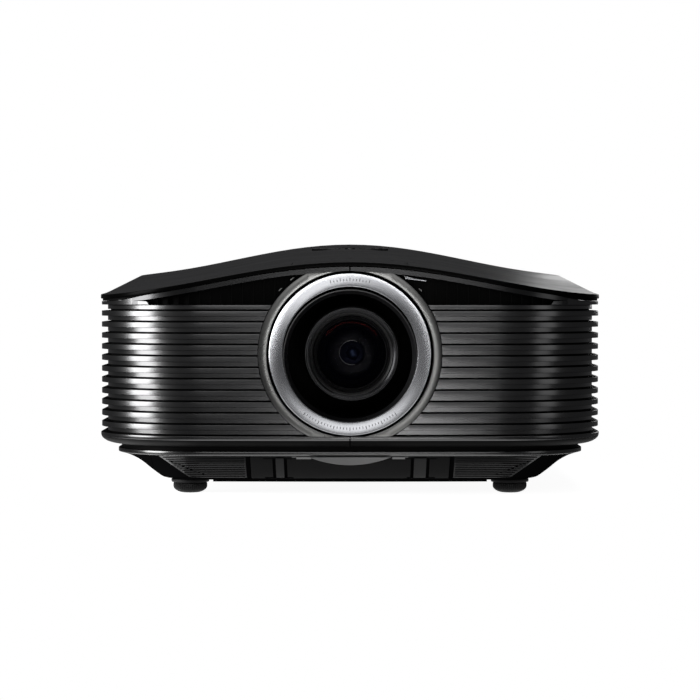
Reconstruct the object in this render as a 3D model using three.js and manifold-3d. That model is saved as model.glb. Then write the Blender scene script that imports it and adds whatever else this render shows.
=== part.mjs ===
// Home cinema projector, an assembly of separate pieces. Millimetres, +Z up, the lens looks along -Y.
// The origin is on the surface the feet stand on, under the middle of the overall box.
import * as THREE from "three";
import { mergeVertices } from "three/addons/utils/BufferGeometryUtils.js";
import Module from "manifold-3d";

const wasm = await Module();
wasm.setup();

// ---- Driving dimensions ----
const HALF_WIDTH = 192; // cover and bottom lip
const FRONT_Y = -244.5; // front of the cover and of the bottom lip
const REAR_Y = 246.5;
const FRONT_BOW = 2.5; // how far the front face falls back before its corners begin
const CORNER_X = 87; // the front corners are quarter ellipses
const CORNER_Y = 81;
const CORNER_START = THREE.MathUtils.degToRad(2.82);
const REAR_RADIUS = 30;
const GAP = 0.3; // between touching pieces

const COVER_BASE_Z = 151.3; // cover edge at the sides, at the front
const COVER_CREST = 24.6; // how much higher the middle of the cover is
const COVER_WAVE = 205; // half a wave of the cover, from its crest outwards
const COVER_SLOPE = 26.5; // rise of the cover's slope over the whole depth
const COVER_RISE_FROM = 0.08; // the rise begins here, as a share of the depth,
const COVER_RISE_FULL = 0.3; // and has its full slope here
const COVER_SIDE_LOSS = 0.15; // share of the rise that the sides lack
const COVER_THICK = 3.4;

const FIN_TOP_Z = 140.2; // middle of the uppermost slot
const FIN_PITCH = 8.45;
const FIN_COUNT = 11;
const FIN_LAND = 3.9; // height of the proud half of each fin
const SLOT = 0.8;
const TOP_FIN_Z = 146.5; // top and underside of the uppermost fin at the sides
const TOP_FIN_UNDER_Z = 142.8;
const OPENING_Z = 143.9; // lower edge of the upper openings
const TRIM_TOP = 3.8; // top and underside of the upper trim strip, below the cover's edge
const TRIM_UNDER = 7.3;
const LIP_TOP_Z = 47.3;
const LIP_ROUND_Z = 41.3;
const LIP_BOTTOM_Z = 38.2;
const SHELL_WALL = 9; // from the outline to the shell's inner wall
const SHELL_REAR_X = 152; // the fin shells end here on the rear face

const LENS_Z = 107.4;
const LENS_X = 1.2; // the lens stands a little off the middle of its ring
const RING_OUTER = 60;
const RING_INNER = 50;
const RING_FRONT_Y = -246.5;
const COLLAR_INNER = 61.8;
const COLLAR_OUTER = 68;
const COLLAR_FRONT_Y = -243.9;
const TUNNEL_INNER = 47;
const TUNNEL_DROP = 1.6; // the tunnel's axis is below the ring's

const CASE_RIM_Z = 34.5;
const CASE_BOTTOM_Z = 11;
const CASE_FLOOR = 3;
const FOOT_X = 122.6;
const FRONT_FOOT_Y = -175;
const REAR_FOOT_Y = 185;
const PANEL_X = 74.5; // half-width of the front lower panel
const GRILLE_X = 150; // outer end of the lower grilles

const REAR_PANEL_Y = 243.5;
const REAR_PANEL_THICK = 3;
const REAR_PANEL_X = SHELL_REAR_X - 0.5;

// ---- Materials ----
function material(color, roughness, metalness = 0) {
  return new THREE.MeshStandardMaterial({ color, roughness, metalness });
}
const MATTE_BLACK = material(0x1d1d1f, 0.6);
const FIN_BLACK = material(0x242426, 0.32, 0.2);
const GLOSS_BLACK = material(0x0b0b0c, 0.12);
const SILVER = material(0xc4c5c9, 0.28, 1);
const LENS_BLACK = material(0x101011, 0.35);
const GLASS = material(0x0a0c16, 0.03, 0.1);
const RUBBER = material(0x121213, 0.85);
const STEEL = material(0x9a9b9d, 0.35, 1);
const ALUMINIUM = material(0xb4b6b8, 0.4, 1);
const BOARD = material(0x1c4a2c, 0.5);
const WHITE_PLASTIC = material(0xd8d8d2, 0.4);
const MIRROR = material(0xe6e4dc, 0.05, 1);
const SMOKED_WINDOW = material(0x2a0508, 0.1);

// ---- Solids ----
// A closed geometry as a manifold-3d solid, its faces turned outwards.
function solid(geometry) {
  const bare = geometry.clone();
  bare.deleteAttribute("normal");
  bare.deleteAttribute("uv");
  const merged = mergeVertices(bare, 1e-4);
  const positions = merged.attributes.position.array;
  const triangles = new Uint32Array(merged.index.array);
  const corner = [new THREE.Vector3(), new THREE.Vector3(), new THREE.Vector3()];
  let volume = 0;
  for (let i = 0; i < triangles.length; i += 3) {
    corner.forEach((point, k) => point.fromArray(positions, 3 * triangles[i + k]));
    volume += corner[0].dot(corner[1].clone().cross(corner[2]));
  }
  if (volume < 0) triangles.reverse();
  const mesh = new wasm.Mesh({ numProp: 3, vertProperties: positions, triVerts: triangles });
  return new wasm.Manifold(mesh);
}

function geometryOf(shape) {
  const mesh = shape.getMesh();
  const geometry = new THREE.BufferGeometry();
  geometry.setAttribute("position", new THREE.BufferAttribute(mesh.vertProperties, 3));
  geometry.setIndex(new THREE.BufferAttribute(mesh.triVerts, 1));
  const flat = geometry.toNonIndexed();
  flat.computeVertexNormals();
  return flat;
}

function join(...shapes) {
  return shapes.reduce((all, shape) => all.add(shape));
}

function cut(shape, ...tools) {
  return tools.reduce((rest, tool) => rest.subtract(tool), shape);
}

function box(x0, x1, y0, y1, z0, z1) {
  const geometry = new THREE.BoxGeometry(x1 - x0, y1 - y0, z1 - z0);
  return solid(geometry.translate((x0 + x1) / 2, (y0 + y1) / 2, (z0 + z1) / 2));
}

// Cylinders along X, Y and Z between two places on that axis.
function rodX(radius, from, to, y, z, segments = 24) {
  const geometry = new THREE.CylinderGeometry(radius, radius, to - from, segments);
  return solid(geometry.rotateZ(Math.PI / 2).translate((from + to) / 2, y, z));
}

function rodY(radius, from, to, x, z, segments = 24) {
  const geometry = new THREE.CylinderGeometry(radius, radius, to - from, segments);
  return solid(geometry.translate(x, (from + to) / 2, z));
}

function rodZ(radius, from, to, x, y, segments = 24) {
  const geometry = new THREE.CylinderGeometry(radius, radius, to - from, segments);
  return solid(geometry.rotateX(Math.PI / 2).translate(x, y, (from + to) / 2));
}

// A turned piece about the Y axis, from the [radius, y] points round its section.
function turned(points, segments = 32) {
  const section = points.map(([radius, y]) => new THREE.Vector2(radius, y));
  if (points[0][0] !== 0) section.push(section[0].clone());
  return solid(new THREE.LatheGeometry(section, segments));
}

function tube(inner, outer, y0, y1, segments = 32) {
  const section = [[inner, y0], [outer, y0], [outer, y1], [inner, y1]];
  return turned(section, segments);
}

// An outline of [x, z] points as a plate between two depths.
function uprightPlate(points, y0, y1) {
  const shape = new THREE.Shape(points.map(([x, z]) => new THREE.Vector2(x, z)));
  const geometry = new THREE.ExtrudeGeometry(shape, { depth: y1 - y0, bevelEnabled: false });
  const upright = new THREE.Matrix4().set(1, 0, 0, 0, 0, 0, 1, y0, 0, 1, 0, 0, 0, 0, 0, 1);
  return solid(geometry.applyMatrix4(upright));
}

// An outline of [x, y] points as a slab between two heights.
function flatPlate(points, z0, z1) {
  const shape = new THREE.Shape(points.map(([x, y]) => new THREE.Vector2(x, y)));
  const geometry = new THREE.ExtrudeGeometry(shape, { depth: z1 - z0, bevelEnabled: false });
  return solid(geometry.translate(0, 0, z0));
}

// Triangles that close a flat loop of points, turning the way the loop does, or the other way.
function capTriangles(loop, sameWay) {
  const size = new THREE.Box3().setFromPoints(loop).getSize(new THREE.Vector3()).toArray();
  const thin = size.indexOf(Math.min(...size));
  const flat = loop.map((point) => {
    const [a, b] = point.toArray().filter((_, k) => k !== thin);
    return new THREE.Vector2(a, b);
  });
  const loopTurn = Math.sign(THREE.ShapeUtils.area(flat));
  return THREE.ShapeUtils.triangulateShape(flat, []).map(([a, b, c]) => {
    const turn = Math.sign(THREE.ShapeUtils.area([flat[a], flat[b], flat[c]]));
    return (turn === loopTurn) === sameWay ? [a, b, c] : [a, c, b];
  });
}

// Closed loops with the same number of points, joined in order and capped at both ends.
function loft(loops) {
  const count = loops[0].length;
  const last = (loops.length - 1) * count;
  const index = [];
  for (let start = 0; start < last; start += count)
    for (let k = 0; k < count; k++) {
      const a = start + k;
      const b = start + ((k + 1) % count);
      index.push(a, b, b + count, a, b + count, a + count);
    }
  capTriangles(loops[0], false).forEach((triangle) => index.push(...triangle));
  capTriangles(loops.at(-1), true).forEach((triangle) => index.push(...triangle.map((k) => last + k)));
  const positions = loops.flat().flatMap((point) => point.toArray());
  const geometry = new THREE.BufferGeometry();
  geometry.setAttribute("position", new THREE.Float32BufferAttribute(positions, 3));
  return solid(geometry.setIndex(index));
}

// ---- The plan outline and the cover's wave ----
// The right half of the outline, from the front middle to the rear middle, moved in by given distances.
function halfOutline(side, front = side, rear = side) {
  const [FRONT_STEPS, CORNER_STEPS, REAR_STEPS] = [2, 6, 3];
  const ax = CORNER_X - side;
  const ay = CORNER_Y - front;
  const centreX = HALF_WIDTH - CORNER_X;
  const centreY = FRONT_Y + FRONT_BOW + CORNER_Y * Math.cos(CORNER_START);
  const startX = centreX + ax * Math.sin(CORNER_START);
  const startY = centreY - ay * Math.cos(CORNER_START);
  const points = [];
  for (let i = 0; i < FRONT_STEPS; i++) {
    const share = i / FRONT_STEPS;
    points.push([startX * share, startY - FRONT_BOW * (1 - share ** 2)]);
  }
  for (let i = 0; i <= CORNER_STEPS; i++) {
    const angle = CORNER_START + (i / CORNER_STEPS) * (Math.PI / 2 - CORNER_START);
    points.push([centreX + ax * Math.sin(angle), centreY - ay * Math.cos(angle)]);
  }
  const radius = Math.max(12, REAR_RADIUS - 0.4 * side);
  for (let i = 0; i <= REAR_STEPS; i++) {
    const angle = (i / REAR_STEPS) * (Math.PI / 2);
    const x = HALF_WIDTH - side - radius * (1 - Math.cos(angle));
    points.push([x, REAR_Y - rear - radius * (1 - Math.sin(angle))]);
  }
  points.push([0, REAR_Y - rear]);
  return points;
}

function fullOutline(side, front = side, rear = side) {
  const right = halfOutline(side, front, rear);
  const left = right.slice(1, -1).reverse().map(([x, y]) => [-x, y]);
  return [...right, ...left];
}

// The cover's upper surface: a wave across, and a rise to the rear.
function coverZ(x, y) {
  const crest = COVER_BASE_Z + (COVER_CREST / 2) * (1 + Math.cos((Math.PI * x) / COVER_WAVE));
  const share = (y - FRONT_Y) / (REAR_Y - FRONT_Y);
  const blend = COVER_RISE_FULL - COVER_RISE_FROM;
  const run = THREE.MathUtils.clamp(share - COVER_RISE_FROM, 0, blend);
  const rise = run ** 2 / (2 * blend) + Math.max(0, share - COVER_RISE_FULL);
  return crest + COVER_SLOPE * rise * (1 - COVER_SIDE_LOSS * (x / HALF_WIDTH) ** 2);
}

// The fin shells end under the cover's front edge, and come down to the uppermost fin at the sides.
function trimTopZ(x, y) {
  const toSide = y > 0 ? 1 : THREE.MathUtils.smoothstep(x, 150, 188);
  return THREE.MathUtils.lerp(coverZ(x, FRONT_Y) - TRIM_TOP, TOP_FIN_Z, toSide);
}

// Everything below the cover's surface lowered by a distance, down to a floor well under it.
function underWave(lowered) {
  const [COLUMNS, ROWS, FLOOR_Z] = [20, 7, 100];
  const [x0, x1, y0, y1] = [-HALF_WIDTH - 4, HALF_WIDTH + 4, FRONT_Y - 4, REAR_Y + 4];
  const loops = [];
  for (let row = 0; row <= ROWS; row++) {
    const y = y0 + ((y1 - y0) * row) / ROWS;
    const loop = [new THREE.Vector3(x1, y, FLOOR_Z), new THREE.Vector3(x0, y, FLOOR_Z)];
    for (let column = 0; column <= COLUMNS; column++) {
      const x = x0 + ((x1 - x0) * column) / COLUMNS;
      loop.push(new THREE.Vector3(x, y, coverZ(x, y) - lowered));
    }
    loops.push(loop);
  }
  return loft(loops);
}

// ---- The scene graph ----
const projector = new THREE.Group();

function add(name, shape, look, parent = projector) {
  const mesh = new THREE.Mesh(geometryOf(shape), look);
  mesh.name = name;
  parent.add(mesh);
  return mesh;
}

function group(x, y, z, parent = projector) {
  const made = new THREE.Group();
  made.position.set(x, y, z);
  parent.add(made);
  return made;
}

// ---- Fin shells ----
// The right shell: finned outside, smooth inside, from the front seam round to the rear panel.
function finShell() {
  const fin = { side: 1.2, front: 1.2, rear: 1.2 };
  const groove = { side: 5.4, front: 2, rear: 5.4 };
  const lip = { side: 0, front: 0, rear: 0.3 };
  const lipRound = { side: 3, front: 3, rear: 3 };
  const inner = { side: SHELL_WALL, front: SHELL_WALL, rear: SHELL_WALL };
  const section = [[fin, null], [fin, TOP_FIN_UNDER_Z], [groove, TOP_FIN_UNDER_Z]];
  for (let i = 0; i < FIN_COUNT; i++) {
    const top = FIN_TOP_Z - i * FIN_PITCH - SLOT / 2;
    section.push([groove, top], [fin, top], [fin, top - FIN_LAND], [groove, top - FIN_LAND]);
  }
  section.push([groove, LIP_TOP_Z], [lip, LIP_TOP_Z], [lip, LIP_ROUND_Z], [lipRound, LIP_BOTTOM_Z]);
  section.push([inner, LIP_BOTTOM_Z], [inner, null]);
  const outlines = section.map(([inset]) => halfOutline(inset.side, inset.front, inset.rear));
  const stations = outlines[0].length;
  const loops = [];
  for (let k = 0; k < stations; k++) {
    loops.push(
      section.map(([, z], i) => {
        const [x, y] = outlines[i][k];
        const seamed = k === 0 ? GAP / 2 : k === stations - 1 ? SHELL_REAR_X : x;
        return new THREE.Vector3(seamed, y, z ?? trimTopZ(...outlines[0][k]));
      }),
    );
  }
  return loft(loops);
}

// The collar is a flat band round the silver ring, parted from the fins by a fine groove.
function collarHalf() {
  const band = turned(
    [
      [COLLAR_INNER, COLLAR_FRONT_Y],
      [COLLAR_OUTER, COLLAR_FRONT_Y],
      [COLLAR_OUTER, COLLAR_FRONT_Y + 12],
      [COLLAR_INNER, COLLAR_FRONT_Y + 12],
    ],
    48,
  ).translate([0, 0, LENS_Z]);
  const under = underWave(TRIM_TOP).intersect(box(GAP / 2, 100, FRONT_Y - 1, -200, LIP_TOP_Z, 200));
  return band.intersect(under);
}

// The upper opening's outline, between the uppermost fin, the trim strip and the collar.
function openingOutline() {
  const [STEP_X, END_X, STEPS] = [150, 163, 9];
  const low = Math.asin((OPENING_Z - LENS_Z) / COLLAR_OUTER);
  const high = THREE.MathUtils.degToRad(60.5);
  const points = [];
  for (let i = 0; i <= STEPS; i++) {
    const angle = high + ((low - high) * i) / STEPS;
    points.push([COLLAR_OUTER * Math.cos(angle), LENS_Z + COLLAR_OUTER * Math.sin(angle)]);
  }
  points.push([STEP_X, OPENING_Z], [STEP_X + 2, TOP_FIN_Z]);
  const apexX = points[0][0];
  for (let i = 0; i < STEPS; i++) {
    const x = END_X + ((apexX + 2 - END_X) * i) / STEPS;
    points.push([x, Math.max(TOP_FIN_Z + 0.5, coverZ(x, FRONT_Y) - TRIM_UNDER)]);
  }
  return points;
}

function rightShell() {
  const bore = rodY(COLLAR_INNER, FRONT_Y - 4, -220, 0, LENS_Z, 48);
  const aboveLip = box(-100, 100, FRONT_Y - 4, -220, LIP_TOP_Z, 200);
  const groove = tube(COLLAR_OUTER, COLLAR_OUTER + 0.8, FRONT_Y - 1, COLLAR_FRONT_Y + 3, 48);
  const opening = uprightPlate(openingOutline(), FRONT_Y - 4, -205);
  const walls = cut(finShell(), bore.intersect(aboveLip), opening);
  return cut(join(walls, collarHalf()), groove.translate([0, 0, LENS_Z]).intersect(aboveLip));
}

const rightShellShape = rightShell();
add("right_fin_shell", rightShellShape, FIN_BLACK);
const leftSide = group(0, 0, 0);
leftSide.scale.x = -1;
add("left_fin_shell", rightShellShape, FIN_BLACK, leftSide);

// A dark screen behind each upper opening.
function intakeScreen() {
  const [NEAR, FAR, FOOT_Z] = [SHELL_WALL + 0.4, SHELL_WALL + 1.8, 138];
  const near = halfOutline(NEAR);
  const far = halfOutline(FAR);
  const loops = near.slice(0, 8).map(([x, y], k) => {
    const top = trimTopZ(x, y) - 1;
    const loopX = k === 0 ? 20 : x;
    const farX = k === 0 ? 20 : far[k][0];
    return [
      new THREE.Vector3(loopX, y, FOOT_Z),
      new THREE.Vector3(loopX, y, top),
      new THREE.Vector3(farX, far[k][1], top),
      new THREE.Vector3(farX, far[k][1], FOOT_Z),
    ];
  });
  return cut(loft(loops), rodY(COLLAR_OUTER + 0.5, FRONT_Y, -200, 0, LENS_Z, 64));
}
const screenShape = intakeScreen();
add("right_intake_screen", screenShape, MATTE_BLACK);
add("left_intake_screen", screenShape, MATTE_BLACK, leftSide);

// ---- Top cover, its hinged lid and its control panel ----
const LID = { halfWidth: 46, front: -128, rear: -72, hingeBack: 1 };
const CONTROL_Y = 150;
const CONTROL_TILT = Math.atan(COVER_SLOPE / (REAR_Y - FRONT_Y));
const CONTROL = { halfLength: 34, radius: 17, thick: 2.2, sunk: 0.6 };
const BUTTON_CLEARANCE = 0.4;

function stadium(halfLength, radius, steps = 8) {
  const points = [];
  for (const side of [1, -1])
    for (let i = 0; i <= steps; i++) {
      const angle = side * (-Math.PI / 2 + (Math.PI * i) / steps);
      points.push([side * (halfLength - radius + radius * Math.cos(angle)), radius * Math.sin(angle)]);
    }
  return points;
}

const controls = group(0, CONTROL_Y, coverZ(0, CONTROL_Y));
controls.rotation.x = CONTROL_TILT;
controls.updateMatrix();
const controlMatrix = controls.matrix.toArray();

// The panel's buttons, each named, with its outline about its own middle.
const ARROW_OFFSET = 11;
const arrow = (turn) =>
  [[-4.5, -2.4], [4.5, -2.4], [2.2, 2.4], [-2.2, 2.4]].map(([x, y]) => [
    x * Math.cos(turn) - y * Math.sin(turn),
    x * Math.sin(turn) + y * Math.cos(turn),
  ]);
const BUTTONS = [
  { name: "enter_button", x: 0, y: 0, outline: stadium(4.6, 4.6) },
  { name: "up_button", x: 0, y: ARROW_OFFSET, outline: arrow(0) },
  { name: "left_button", x: -ARROW_OFFSET, y: 0, outline: arrow(Math.PI / 2) },
  { name: "down_button", x: 0, y: -ARROW_OFFSET, outline: arrow(Math.PI) },
  { name: "right_button", x: ARROW_OFFSET, y: 0, outline: arrow(-Math.PI / 2) },
  { name: "power_button", x: -24.5, y: 0, outline: stadium(4.8, 4.8) },
  { name: "menu_button", x: 24, y: 5, outline: stadium(5, 2.6) },
  { name: "source_button", x: 24, y: -5, outline: stadium(5, 2.6) },
];
const BUTTON_PROUD = 0.7;
const BUTTON_DEPTH = 3.4;
const WINDOW_Y = 15.2; // the status window, behind the arrows

function grown(outline, margin) {
  return outline.map(([x, y]) => {
    const reach = Math.hypot(x, y);
    return [x * (1 + margin / reach), y * (1 + margin / reach)];
  });
}

function controlPanel() {
  const outline = stadium(CONTROL.halfLength, CONTROL.radius);
  const body = flatPlate(outline, -CONTROL.sunk - CONTROL.thick, -CONTROL.sunk);
  const holes = BUTTONS.map((button) =>
    flatPlate(grown(button.outline, BUTTON_CLEARANCE), -10, 5).translate([button.x, button.y, 0]),
  );
  const window = flatPlate(stadium(7, 1.6), -10, 5).translate([0, WINDOW_Y, 0]);
  return cut(body, ...holes, window);
}
add("control_panel", controlPanel(), GLOSS_BLACK, controls);
const BUTTON_TOP = BUTTON_PROUD - CONTROL.sunk;
for (const { name, x, y, outline } of BUTTONS) {
  const cap = flatPlate(outline, BUTTON_TOP - BUTTON_DEPTH, BUTTON_TOP);
  add(name, cap, FIN_BLACK, controls).position.set(x, y, 0);
}
const statusWindow = flatPlate(stadium(6.7, 1.3), -CONTROL.sunk - 2, -CONTROL.sunk);
add("status_window", statusWindow, SMOKED_WINDOW, controls).position.set(0, WINDOW_Y, 0);

function topCover() {
  const outline = flatPlate(fullOutline(0), 90, 220);
  const slab = cut(underWave(0), underWave(COVER_THICK)).intersect(outline);
  const ring = cut(flatPlate(fullOutline(6), 90, 220), flatPlate(fullOutline(8.4), 80, 230));
  const skirtSpace = box(-200, 200, -150, 250, TOP_FIN_Z + 2 * GAP, 220);
  const rearPanelSpace = box(-SHELL_REAR_X, SHELL_REAR_X, 225, 250, 90, 220);
  const skirt = cut(ring.intersect(skirtSpace).intersect(underWave(1)), rearPanelSpace);
  const lidHole = box(
    -LID.halfWidth - GAP,
    LID.halfWidth + GAP,
    LID.front - GAP,
    LID.rear + 1.2,
    90,
    220,
  );
  const panelHole = flatPlate(stadium(CONTROL.halfLength + GAP, CONTROL.radius + GAP), -30, 30);
  return cut(join(slab, skirt), lidHole, panelHole.transform(controlMatrix));
}
add("top_cover", topCover(), MATTE_BLACK);

function shiftLid() {
  const space = box(-LID.halfWidth, LID.halfWidth, LID.front, LID.rear, 90, 220);
  return cut(underWave(0), underWave(COVER_THICK - 0.4)).intersect(space);
}
add("lens_shift_lid", shiftLid(), MATTE_BLACK);

// ---- Bottom case and its panels ----
// Levels of the case from its hidden upper wall down to its floor, with how far in each side stands.
const CASE_LEVELS = [
  { z: 44, side: 16, front: 12, rear: 16 },
  { z: CASE_RIM_Z, side: 16, front: 12, rear: 16 },
  { z: CASE_RIM_Z, side: 13.5, front: 9, rear: 13.5 },
  { z: 31.2, side: 13.5, front: 9, rear: 13.5 },
  { z: 28.9, side: 22.2, front: 13, rear: 15 },
  { z: 24.4, side: 30.5, front: 20, rear: 17.5 },
  { z: 17.8, side: 38.7, front: 31, rear: 22 },
  { z: 12, side: 47, front: 42, rear: 26 },
  { z: CASE_BOTTOM_Z, side: 50.5, front: 46, rear: 28 },
];

// The case's outer form, moved in by a distance.
function caseForm(inset, levels = CASE_LEVELS) {
  return loft(
    levels.map(({ z, side, front, rear }) =>
      fullOutline(side + inset, front + inset, rear + inset).map(([x, y]) => new THREE.Vector3(x, y, z)),
    ),
  );
}

const INNER_LEVELS = CASE_LEVELS.filter((_, i) => i !== 2 && i !== 3).map((level, i, all) => ({
  ...level,
  z: i === 0 ? level.z + 1 : i === all.length - 1 ? CASE_BOTTOM_Z + CASE_FLOOR : level.z + 1,
}));
const frontPanelSpace = (margin) =>
  box(-PANEL_X - margin, PANEL_X + margin, -245, -190, 12.5 - margin, 30.8 + margin);
const grilleSpace = (margin) =>
  box(PANEL_X + 0.6 - margin, GRILLE_X + margin, -245, -160, 12.5 - margin, 30.8 + margin);
const mirrored = (shape) => shape.scale([-1, 1, 1]);
const LAMP_DOOR = { x0: 62, x1: 132, y0: -60, y1: 30 };
const CEILING_PAD = { x0: -65, x1: 55, y0: -70, y1: 110, z: 10.4 }; // a raised face for a bracket
const PANEL_THICK = 2.2;

function caseSkin() {
  return cut(caseForm(0), caseForm(PANEL_THICK));
}

function bottomCase() {
  const pocket = cut(caseForm(-2), caseForm(PANEL_THICK + GAP));
  const spaces = join(frontPanelSpace(GAP), grilleSpace(GAP), mirrored(grilleSpace(GAP)));
  const footHoles = [1, -1].map((side) => rodZ(4.6, 0, 60, side * FOOT_X, FRONT_FOOT_Y));
  const door = box(LAMP_DOOR.x0, LAMP_DOOR.x1, LAMP_DOOR.y0, LAMP_DOOR.y1, 5, 25);
  const hollow = caseForm(PANEL_THICK + 1.6, INNER_LEVELS);
  const { x0, x1, y0, y1, z } = CEILING_PAD;
  const pad = box(x0, x1, y0, y1, z, CASE_BOTTOM_Z + 1);
  const bosses = [1, -1].map((side) => rodZ(9, CASE_BOTTOM_Z + 1, 26, side * FOOT_X, FRONT_FOOT_Y));
  const body = join(cut(caseForm(0), hollow), ...bosses, pad);
  return cut(body, pocket.intersect(spaces), ...footHoles, door);
}
add("bottom_case", bottomCase(), GLOSS_BLACK);
add("front_lower_panel", caseSkin().intersect(frontPanelSpace(0)), GLOSS_BLACK);
const grilleShape = caseSkin().intersect(grilleSpace(0));
add("right_lower_grille", grilleShape, MATTE_BLACK);
add("left_lower_grille", grilleShape, MATTE_BLACK, leftSide);

// ---- Rings round the lens ----
const opticGroup = group(0, 0, LENS_Z);
const silverRing = turned(
  [
    [RING_INNER, RING_FRONT_Y + 2.6],
    [RING_INNER + 1, RING_FRONT_Y + 1.2],
    [RING_OUTER - 1, RING_FRONT_Y],
    [RING_OUTER, RING_FRONT_Y + 1],
    [RING_OUTER, -236],
    [RING_INNER, -236],
  ],
  40,
);
add("lens_bezel_ring", silverRing, SILVER, opticGroup);

// The tunnel joins the ring to a flange that is screwed behind the shells.
const TUNNEL_REAR_Y = -200;
const tunnelSection = [
  [TUNNEL_INNER, -241],
  [TUNNEL_INNER + 0.6, -242.6],
  [RING_INNER - TUNNEL_DROP - GAP, -242.6],
  [RING_INNER - TUNNEL_DROP - GAP, TUNNEL_REAR_Y - 2],
  [COLLAR_INNER - 2, TUNNEL_REAR_Y - 2],
  [COLLAR_INNER - 2, TUNNEL_REAR_Y],
  [TUNNEL_INNER, TUNNEL_REAR_Y],
];
add("lens_tunnel", turned(tunnelSection, 32), MATTE_BLACK, group(0, 0, LENS_Z - TUNNEL_DROP));

// The chin is a half moon under the ring, concentric with the lens, on the front of the lower panel.
function chin() {
  const [CHIN_RADIUS, CHIN_FRONT, CHIN_BACK] = [82.4, FRONT_Y + 4.5, FRONT_Y + 7.5];
  const disc = rodY(CHIN_RADIUS, CHIN_FRONT, CHIN_BACK, 0, LENS_Z, 96);
  return disc.intersect(box(-45, 45, CHIN_FRONT - 1, CHIN_BACK + 1, 20, CASE_RIM_Z - 3.6));
}
add("lens_chin", chin(), FIN_BLACK);

// ---- The projection lens ----
const lens = group(LENS_X, 0, LENS_Z);
const BARREL_FRONT_Y = -238;
const barrelSection = [
  [28.7, BARREL_FRONT_Y + 1.5],
  [30.8, BARREL_FRONT_Y + 1.5],
  [30.8, -215],
  [33.6, -215],
  [33.6, -133.3],
  [41, -133.3],
  [41, -130],
  [30, -130],
  [30, -96],
  [28.7, -96],
];
add("lens_barrel", turned(barrelSection, 28), LENS_BLACK, lens);
add("focus_ring", tube(31.1, 34.8, BARREL_FRONT_Y, -215.5, 36), LENS_BLACK, lens);
add("zoom_ring", tube(33.9, 36.4, -212, -194, 36), RUBBER, lens);
const cellSection = [
  [25.8, -233.5],
  [28.4, -233.5],
  [28.4, -208],
  [20, -208],
  [20, -210],
  [25.8, -210],
];
add("front_lens_cell", turned(cellSection, 28), LENS_BLACK, lens);

// A lens whose two faces are arcs that bulge by the given amounts.
function element(radius, frontY, rearY, frontBulge, rearBulge, segments = 28) {
  const STEPS = 3;
  const face = (y, bulge, towards) => {
    const curvature = (radius ** 2 + bulge ** 2) / (2 * bulge);
    return Array.from({ length: STEPS + 1 }, (_, i) => {
      const r = (radius * (towards ? STEPS - i : i)) / STEPS;
      const sag = curvature - Math.sqrt(curvature ** 2 - r ** 2);
      return [r, y + (towards ? -1 : 1) * sag];
    });
  };
  return turned([...face(frontY, frontBulge, false), ...face(rearY, rearBulge, true)], segments);
}
add("front_element", element(25.5, -228.5, -212, 5, 3), GLASS, lens);
add("zoom_lens_group", element(28.3, -182, -150, 4, 4, 24), GLASS, lens);

// ---- Lens shift: a fixed base, a carriage that goes up and down, and one on it that goes sideways ----
const SHIFT_BASE_Y = -152;
const VERTICAL_Y = -145.5;
const HORIZONTAL_Y = -139;
const CARRIAGE_THICK = 5;
function shiftBase() {
  const frame = box(-72, 72, SHIFT_BASE_Y, SHIFT_BASE_Y + CARRIAGE_THICK, 48, 162);
  const foot = box(-72, 72, SHIFT_BASE_Y, SHIFT_BASE_Y + 22, CASE_BOTTOM_Z + CASE_FLOOR + GAP, 22);
  const legs = [-72, 60].map((x) => box(x, x + 12, SHIFT_BASE_Y, SHIFT_BASE_Y + CARRIAGE_THICK, 15, 62));
  const bore = rodY(46, SHIFT_BASE_Y - 1, SHIFT_BASE_Y + 9, LENS_X, LENS_Z, 28);
  return cut(join(frame, foot, ...legs), bore);
}
add("shift_base", shiftBase(), MATTE_BLACK);
const verticalPlate = cut(
  box(-62, 62, VERTICAL_Y, VERTICAL_Y + CARRIAGE_THICK, -46, 46),
  rodY(39, VERTICAL_Y - 1, VERTICAL_Y + 9, LENS_X, 0, 28),
);
add("vertical_carriage", verticalPlate, LENS_BLACK, opticGroup);
const horizontalPlate = cut(
  box(-52, 52, HORIZONTAL_Y, HORIZONTAL_Y + CARRIAGE_THICK, -43, 43),
  rodY(33.9, HORIZONTAL_Y - 1, HORIZONTAL_Y + 9, LENS_X, 0, 28),
);
add("horizontal_carriage", horizontalPlate, LENS_BLACK, opticGroup);

// Two knurled dials under the lid, their stems through holes in a bracket.
const DIAL_X = 24;
const DIAL_Y = -100;
const DIAL_Z = 161;
function dial() {
  const STEPS = 16;
  const points = [];
  for (let i = 0; i < STEPS * 2; i++) {
    const angle = (Math.PI * i) / STEPS;
    const radius = i % 2 ? 15.2 : 16;
    points.push([radius * Math.cos(angle), radius * Math.sin(angle)]);
  }
  return join(flatPlate(points, 0, 7), rodZ(4, -12, 0.5, 0, 0, 12));
}
add("vertical_shift_dial", dial(), RUBBER, group(-DIAL_X, DIAL_Y, DIAL_Z));
add("horizontal_shift_dial", dial(), RUBBER, group(DIAL_X, DIAL_Y, DIAL_Z));
const dialBracket = cut(
  join(box(-50, 50, -122, -78, 152, 155), box(-50, 50, -84, -78, 143.3, 153)),
  ...[-DIAL_X, DIAL_X].map((x) => rodZ(4.4, 120, 160, x, DIAL_Y, 12)),
);
add("dial_bracket", dialBracket, STEEL);

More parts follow.
